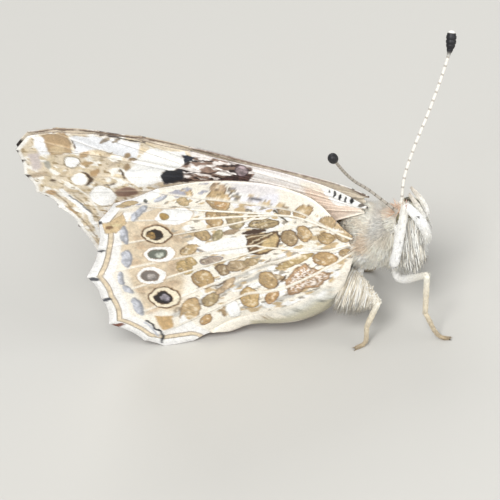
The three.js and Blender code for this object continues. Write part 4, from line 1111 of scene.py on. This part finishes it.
ANTENNA = {"length": 14.7, "shaft": 0.13, "club": 0.42, "club_length": 2.2, "rings": 40, "sides": 14,
           "forward": 0.1, "side": 0.4, "sunk": 0.35, "foot": 0.24, "groove": 0.13}
ANTENNA_LINES = {
    "right": [(2.35, -0.73, 13.58), (1.78, -1.77, 15.82), (1.67, -3.02, 18.15), (1.93, -4.86, 21.11),
              (2.32, -6.36, 23.02)],
    "left": [(4.56, 1.88, 12.04), (5.72, 3.58, 13.67), (7.56, 5.99, 15.79), (9.45, 8.69, 18.33),
             (10.04, 9.95, 19.77)],
}
# The right antenna's shaft and joint tones are darker than the left's as painted shade; otherwise both are the
# same ringed horn.
ANTENNA_TONES_AND_SHADE = {"right": ("B9B1A5", "7A7268", "1C1B1E"), "left": ("E9E5DB", "B3ABA0", "F6F2EA")}


# Ringed horn: scaled chitin, satin, with a fine grain.

horn = grained_material("ringed_horn", {"Scale": 6000, "Detail": 3}, (0.85, 1.05), (0.3, 0.02),
                        {"Roughness": 0.5})
per_ring = 5    # places along each ring, the first of them in its groove
for word, side in [("right", -1), ("left", 1)]:
    foot = (ANTENNA["forward"], ANTENNA["side"] * side, HEAD["height"] / 2 - ANTENNA["sunk"])
    base = turn_with(HEAD, [foot])[0] + HEAD["centre"]
    count = ANTENNA["rings"] * per_ring + 1
    line = along_line([base, *ANTENNA_LINES[word]], count)
    share = np.linspace(0, 1, count)
    start = 1 - ANTENNA["club_length"] / ANTENNA["length"]
    radii = ANTENNA["shaft"] + (ANTENNA["club"] - ANTENNA["shaft"]) * smooth(share, start, start + 0.09)
    radii[share < 0.03] = ANTENNA["foot"]
    radii *= 1 - ANTENNA["groove"] * (np.arange(count) % per_ring == 0)
    radii *= np.sqrt(np.clip((1.004 - share) / 0.03, 0, 1))
    points, faces = tube(line, radii, ANTENNA["sides"])
    # For the right antenna the shaft and joint tones carry painted shade.
    shaft, joint, tip = ANTENNA_TONES_AND_SHADE[word]
    tones = np.tile(colour_of(shaft), (count, 1))
    dark = (np.arange(count) % (2 * per_ring)) < 2
    tones[dark] = colour_of(joint)
    tones += (colour_of("17161A") - tones) * smooth(share, start - 0.01, start + 0.04)[:, None]
    tones += (colour_of(tip) - tones) * smooth(share, 0.985, 0.987)[:, None]
    colours = np.vstack([np.repeat(tones, ANTENNA["sides"], axis=0), tones[:1], tones[-1:]])
    make_piece(f"antenna_{word}_rings", points, faces, horn, [f"antenna_{word}"], colours)


# Legs
# Four walking legs and two small brush-feet, of chitin sheathed in close white scales with hair on the thighs
# and a row of spines under the shins. The right brush-foot is lifted to the face.

def leg_path(*points, side):
    return np.array([(x, y * side, z) for x, y, z in points])


# Each section's own places. A section starts where the one before it ends.
LEGS = {
    "midleg_right": ([(2.3, 1.0, 6.2), (2.45, 1.85, 4.6), (5.44, 4.0, 6.6)], [(4.3, 4.45, 2.9)],
                     [(4.7, 4.65, 0.5), (5.6, 4.9, 0.1)]),
    "midleg_left": ([(2.3, 1.0, 6.2), (2.2, 1.75, 4.9), (3.0, 3.6, 6.7)], [(2.3, 4.2, 2.9)],
                    [(2.2, 4.45, 0.5), (2.8, 4.8, 0.1)]),
    "hindleg_right": ([(-0.3, 0.9, 6.2), (-0.9, 1.55, 4.85), (0.62, 3.6, 4.0)], [(-0.9, 4.0, 1.9)],
                      [(-1.45, 4.25, 0.4), (-2.35, 4.5, 0.1)]),
    "foreleg_right": ([(2.7, 1.0, 7.4), (2.85, 2.75, 7.35), (5.3, 2.4, 13.05)],
                      [(5.95, 2.4, 11.3), (6.1, 2.35, 9.9), (5.95, 2.3, 8.8)]),
    "foreleg_left": ([(2.7, 1.0, 7.4), (2.8, 2.0, 6.4), (4.7, 2.2, 8.2)], [(4.0, 2.4, 5.4)]),
}
LEGS["hindleg_left"] = LEGS["hindleg_right"]
SECTIONS = ["femur", "tibia", "tarsus"]
LEG_RADII = {
    "femur": [(0, 0.34), (0.35, 0.33), (1, 0.24)], "tibia": [(0, 0.24), (0.5, 0.22), (1, 0.2)],
    "tarsus": [(0, 0.19), (0.5, 0.17), (1, 0.15)],
}
LEG_TONES = {
    "femur": ["F4F2EC", "F8F6F0", "F2ECDE"], "tibia": ["F3EEDF", "EADFC8", "DFD2B8"],
    "tarsus": ["DCCFB4", "C9B89A", "9C8868"],
}


def leg_material():
    """White leg scales lying flat over chitin, a little silky, with a cross grain of 0.1 mm."""
    material, tree = new_material("leg_scales_white")
    paint = add_node(tree, "ShaderNodeAttribute", {"attribute_name": "markings"})
    place = add_node(tree, "ShaderNodeTexCoord")
    tiles = add_node(tree, "ShaderNodeTexVoronoi", {"Scale": 9000}, {"Vector": place.outputs["Object"]})
    grey = add_node(tree, "ShaderNodeSeparateColor", {}, {"Color": tiles.outputs["Color"]})
    shade = add_node(tree, "ShaderNodeMapRange", {"To Min": 0.84, "To Max": 1.04},
                     {"Value": grey.outputs["Red"]})
    tinted = add_node(tree, "ShaderNodeVectorMath", {"operation": "SCALE"},
                      {0: paint.outputs["Color"], "Scale": shade.outputs["Result"]})
    bump = add_node(tree, "ShaderNodeBump", {"Strength": 0.4, "Distance": 0.00003},
                    {"Height": tiles.outputs["Distance"]})
    shader = add_node(tree, "ShaderNodeBsdfPrincipled",
                      {"Roughness": 0.55, "IOR": 1.5, "Sheen Weight": 0.2, "Sheen Roughness": 0.4},
                      {"Base Color": tinted.outputs["Vector"], "Normal": bump.outputs["Normal"]})
    add_node(tree, "ShaderNodeOutputMaterial", {}, {"Surface": shader.outputs["BSDF"]})
    return material


leg_scales = leg_material()
SPECKS = [(4.05, 9.7, 0.13, "55524E"), (3.45, 8.1, 0.1, "4A4744"), (3.6, 8.6, 0.08, "6A6660"),
          (6.0, 11.8, 0.13, "4A4744"), (5.35, 13.2, 0.22, "C9A092")]
for number, (leg, sections) in enumerate(LEGS.items()):
    side = 1 if leg.endswith("left") else -1
    lifted = leg.startswith("foreleg")
    points, faces, colours, hairs, knots = [], [], [], [], []
    for section, places in zip(SECTIONS, sections):
        knots = [*knots[-1:], *places]
        line = along_line(leg_path(*knots, side=side), 14 * len(knots))
        share = np.linspace(0, 1, len(line))
        radii = np.interp(share, *zip(*LEG_RADII[section]))
        if lifted and section == "tibia":
            radii = np.interp(share, [0, 0.15, 0.55, 0.85, 1], [0.3, 0.36, 0.42, 0.32, 0.1])
        if lifted and section == "femur":
            radii = np.interp(share, [0, 0.3, 0.7, 1], [0.3, 0.38, 0.36, 0.3])
        tones = ["FBFAF6", "FFFEFA", "FAF6EC"] if lifted else LEG_TONES[section]
        radii[0] *= 0.6
        radii[-1] *= 0.6
        more, sides = tube(line, radii, 14, side_hint=(0.3, 1, 0.2))
        faces += [tuple(corner + sum(map(len, points)) for corner in face) for face in sides]
        points.append(more)
        colours.append(line_colour(more, line, tones))
        dense = {"femur": 520, "tibia": 420 if lifted else 240, "tarsus": 160}[section]
        hairs.append(fur_round(line, radii, dense, np.random.default_rng(50 + number * 3 + len(hairs)), 0.12,
                               0.5 if lifted else 0.34, 0.06, 0.18, tones))
    points = np.vstack(points)
    points[:, 2] = np.maximum(points[:, 2], 0.0)
    make_piece(f"{leg}_limb", points, faces, leg_scales,
               [f"{leg}_{section}" for section, _ in zip(SECTIONS, sections)], np.vstack(colours))
    shift = np.cumsum([0] + [len(part[0]) for part in hairs[:-1]])
    hair_points = np.vstack([part[0] for part in hairs])
    hair_points[:, 2] = np.maximum(hair_points[:, 2], 0.0)
    hair_colours = np.vstack([part[2] for part in hairs])
    for x, z, size, code in SPECKS if lifted else []:
        near = np.hypot(hair_points[:, 0] - x, hair_points[:, 2] - z) < size
        hair_colours[near] = colour_of(code)
    hair_faces = np.vstack([part[1] + more for part, more in zip(hairs, shift)])
    make_piece(f"{leg}_hair", hair_points, hair_faces, hair, (), hair_colours,
               np.vstack([part[3] for part in hairs]))


# Long hair below the hind thighs
# A curtain of soft buff hair hangs from the hind body and thigh between the wing's inner edge and the knee.

FRINGE_TOP = [(-1.5, 1.75, 6.0), (-0.9, 1.75, 4.95), (0.62, 3.6, 4.0)]
FRINGE_TIPS = [(-3.7, 2.75, 2.75), (-3.1, 2.85, 2.35), (-2.2, 2.9, 2.2), (-0.7, 3.3, 3.0), (0.4, 3.6, 3.6)]
FRINGE_TONES = {"F8F2E4": 0.4, "ECE3D0": 0.3, "CBBFA8": 0.2, "FEFCF6": 0.1}
for number, (word, side) in enumerate([("right", -1), ("left", 1)]):
    draw = np.random.default_rng(90 + number)
    count = 3200
    along = draw.random(count)
    roots, tips = [read_off(along, along_line(leg_path(*knots, side=side), 40))
                   for knots in (FRINGE_TOP, FRINGE_TIPS)]
    roots += draw.normal(0, 0.1, (count, 3))
    reach = (tips - roots) * draw.uniform(0.55, 1.0, count)[:, None] + draw.normal(0, 0.12, (count, 3))
    points, faces, colours, patches = loose_locks(
        draw, roots, reach, (0.25, side * 0.9, 0.3), 0.2, FRINGE_TONES, 0.92, (0.07, 0.14), 0.05, along)
    make_piece(f"thigh_hair_{word}", points, faces, hair, (), colours, patches)


# Floor, light and camera
# A plain pale floor under a large soft light from above and behind the camera's left, and the camera at the
# photograph's angle, a long way off behind a long lens.

floor_mesh = bpy.data.meshes.new("floor")
FLOOR = 3.0
floor_mesh.from_pydata([(-FLOOR, -FLOOR, 0), (FLOOR, -FLOOR, 0), (FLOOR, FLOOR, 0), (-FLOOR, FLOOR, 0)], [],
                       [(0, 1, 2, 3)])
floor = bpy.data.objects.new("floor", floor_mesh)
bpy.context.collection.objects.link(floor)
card, card_tree = new_material("pale_card")
card_shader = add_node(card_tree, "ShaderNodeBsdfPrincipled", {"Base Color": (*colour_of("C3C1BB"), 1),
                                                               "Roughness": 0.9})
add_node(card_tree, "ShaderNodeOutputMaterial", {}, {"Surface": card_shader.outputs["BSDF"]})
floor_mesh.materials.append(card)

world = bpy.data.worlds.new("studio")
bpy.context.scene.world = world
world.use_nodes = True
world.node_tree.nodes["Background"].inputs["Color"].default_value = (0.95, 0.97, 1.0, 1)
world.node_tree.nodes["Background"].inputs["Strength"].default_value = 0.5


def soft_light(name, spot, size, power):
    """A square soft box aimed at the animal's middle."""
    data = bpy.data.lights.new(name, "AREA")
    data.size = size
    data.energy = power
    box = bpy.data.objects.new(name, data)
    box.location = spot
    box.rotation_euler = (Vector((0, 0, 0.012)) - Vector(spot)).to_track_quat("-Z", "Y").to_euler()
    bpy.context.collection.objects.link(box)


soft_light("key", (0.04, -0.32, 0.5), 0.3, 2.8)
soft_light("fill", (0.4, -0.15, 0.2), 0.25, 0.75)
soft_light("back", (-0.1, 0.4, 0.35), 0.3, 0.7)

CAMERA_BACK = Vector((0.254, -0.704, 0.663)).normalized()
CAMERA_RIGHT = Vector((0.958, 0.087, -0.275)).normalized()
CAMERA_UP = CAMERA_BACK.cross(CAMERA_RIGHT).normalized()
CAMERA_FAR = 0.9
VIEW_WIDTH = 0.04032
AIM_HEIGHT = 6.5
AIM_BEHIND = 9.27
AIM = Vector((STAND_X, STAND_Y, AIM_HEIGHT)) * MM - CAMERA_RIGHT * AIM_BEHIND * MM
camera_data = bpy.data.cameras.new("camera")
camera_data.sensor_width = 36
camera_data.lens = 36 * CAMERA_FAR / VIEW_WIDTH
camera_data.clip_start = 0.05
camera_data.clip_end = 20
camera = bpy.data.objects.new("camera", camera_data)
camera.rotation_mode = "QUATERNION"
camera.location = AIM + CAMERA_BACK * CAMERA_FAR
camera.rotation_quaternion = Matrix((CAMERA_RIGHT, CAMERA_UP, CAMERA_BACK)).transposed().to_quaternion()
bpy.context.collection.objects.link(camera)
bpy.context.scene.camera = camera
bpy.context.scene.view_settings.view_transform = "Standard"
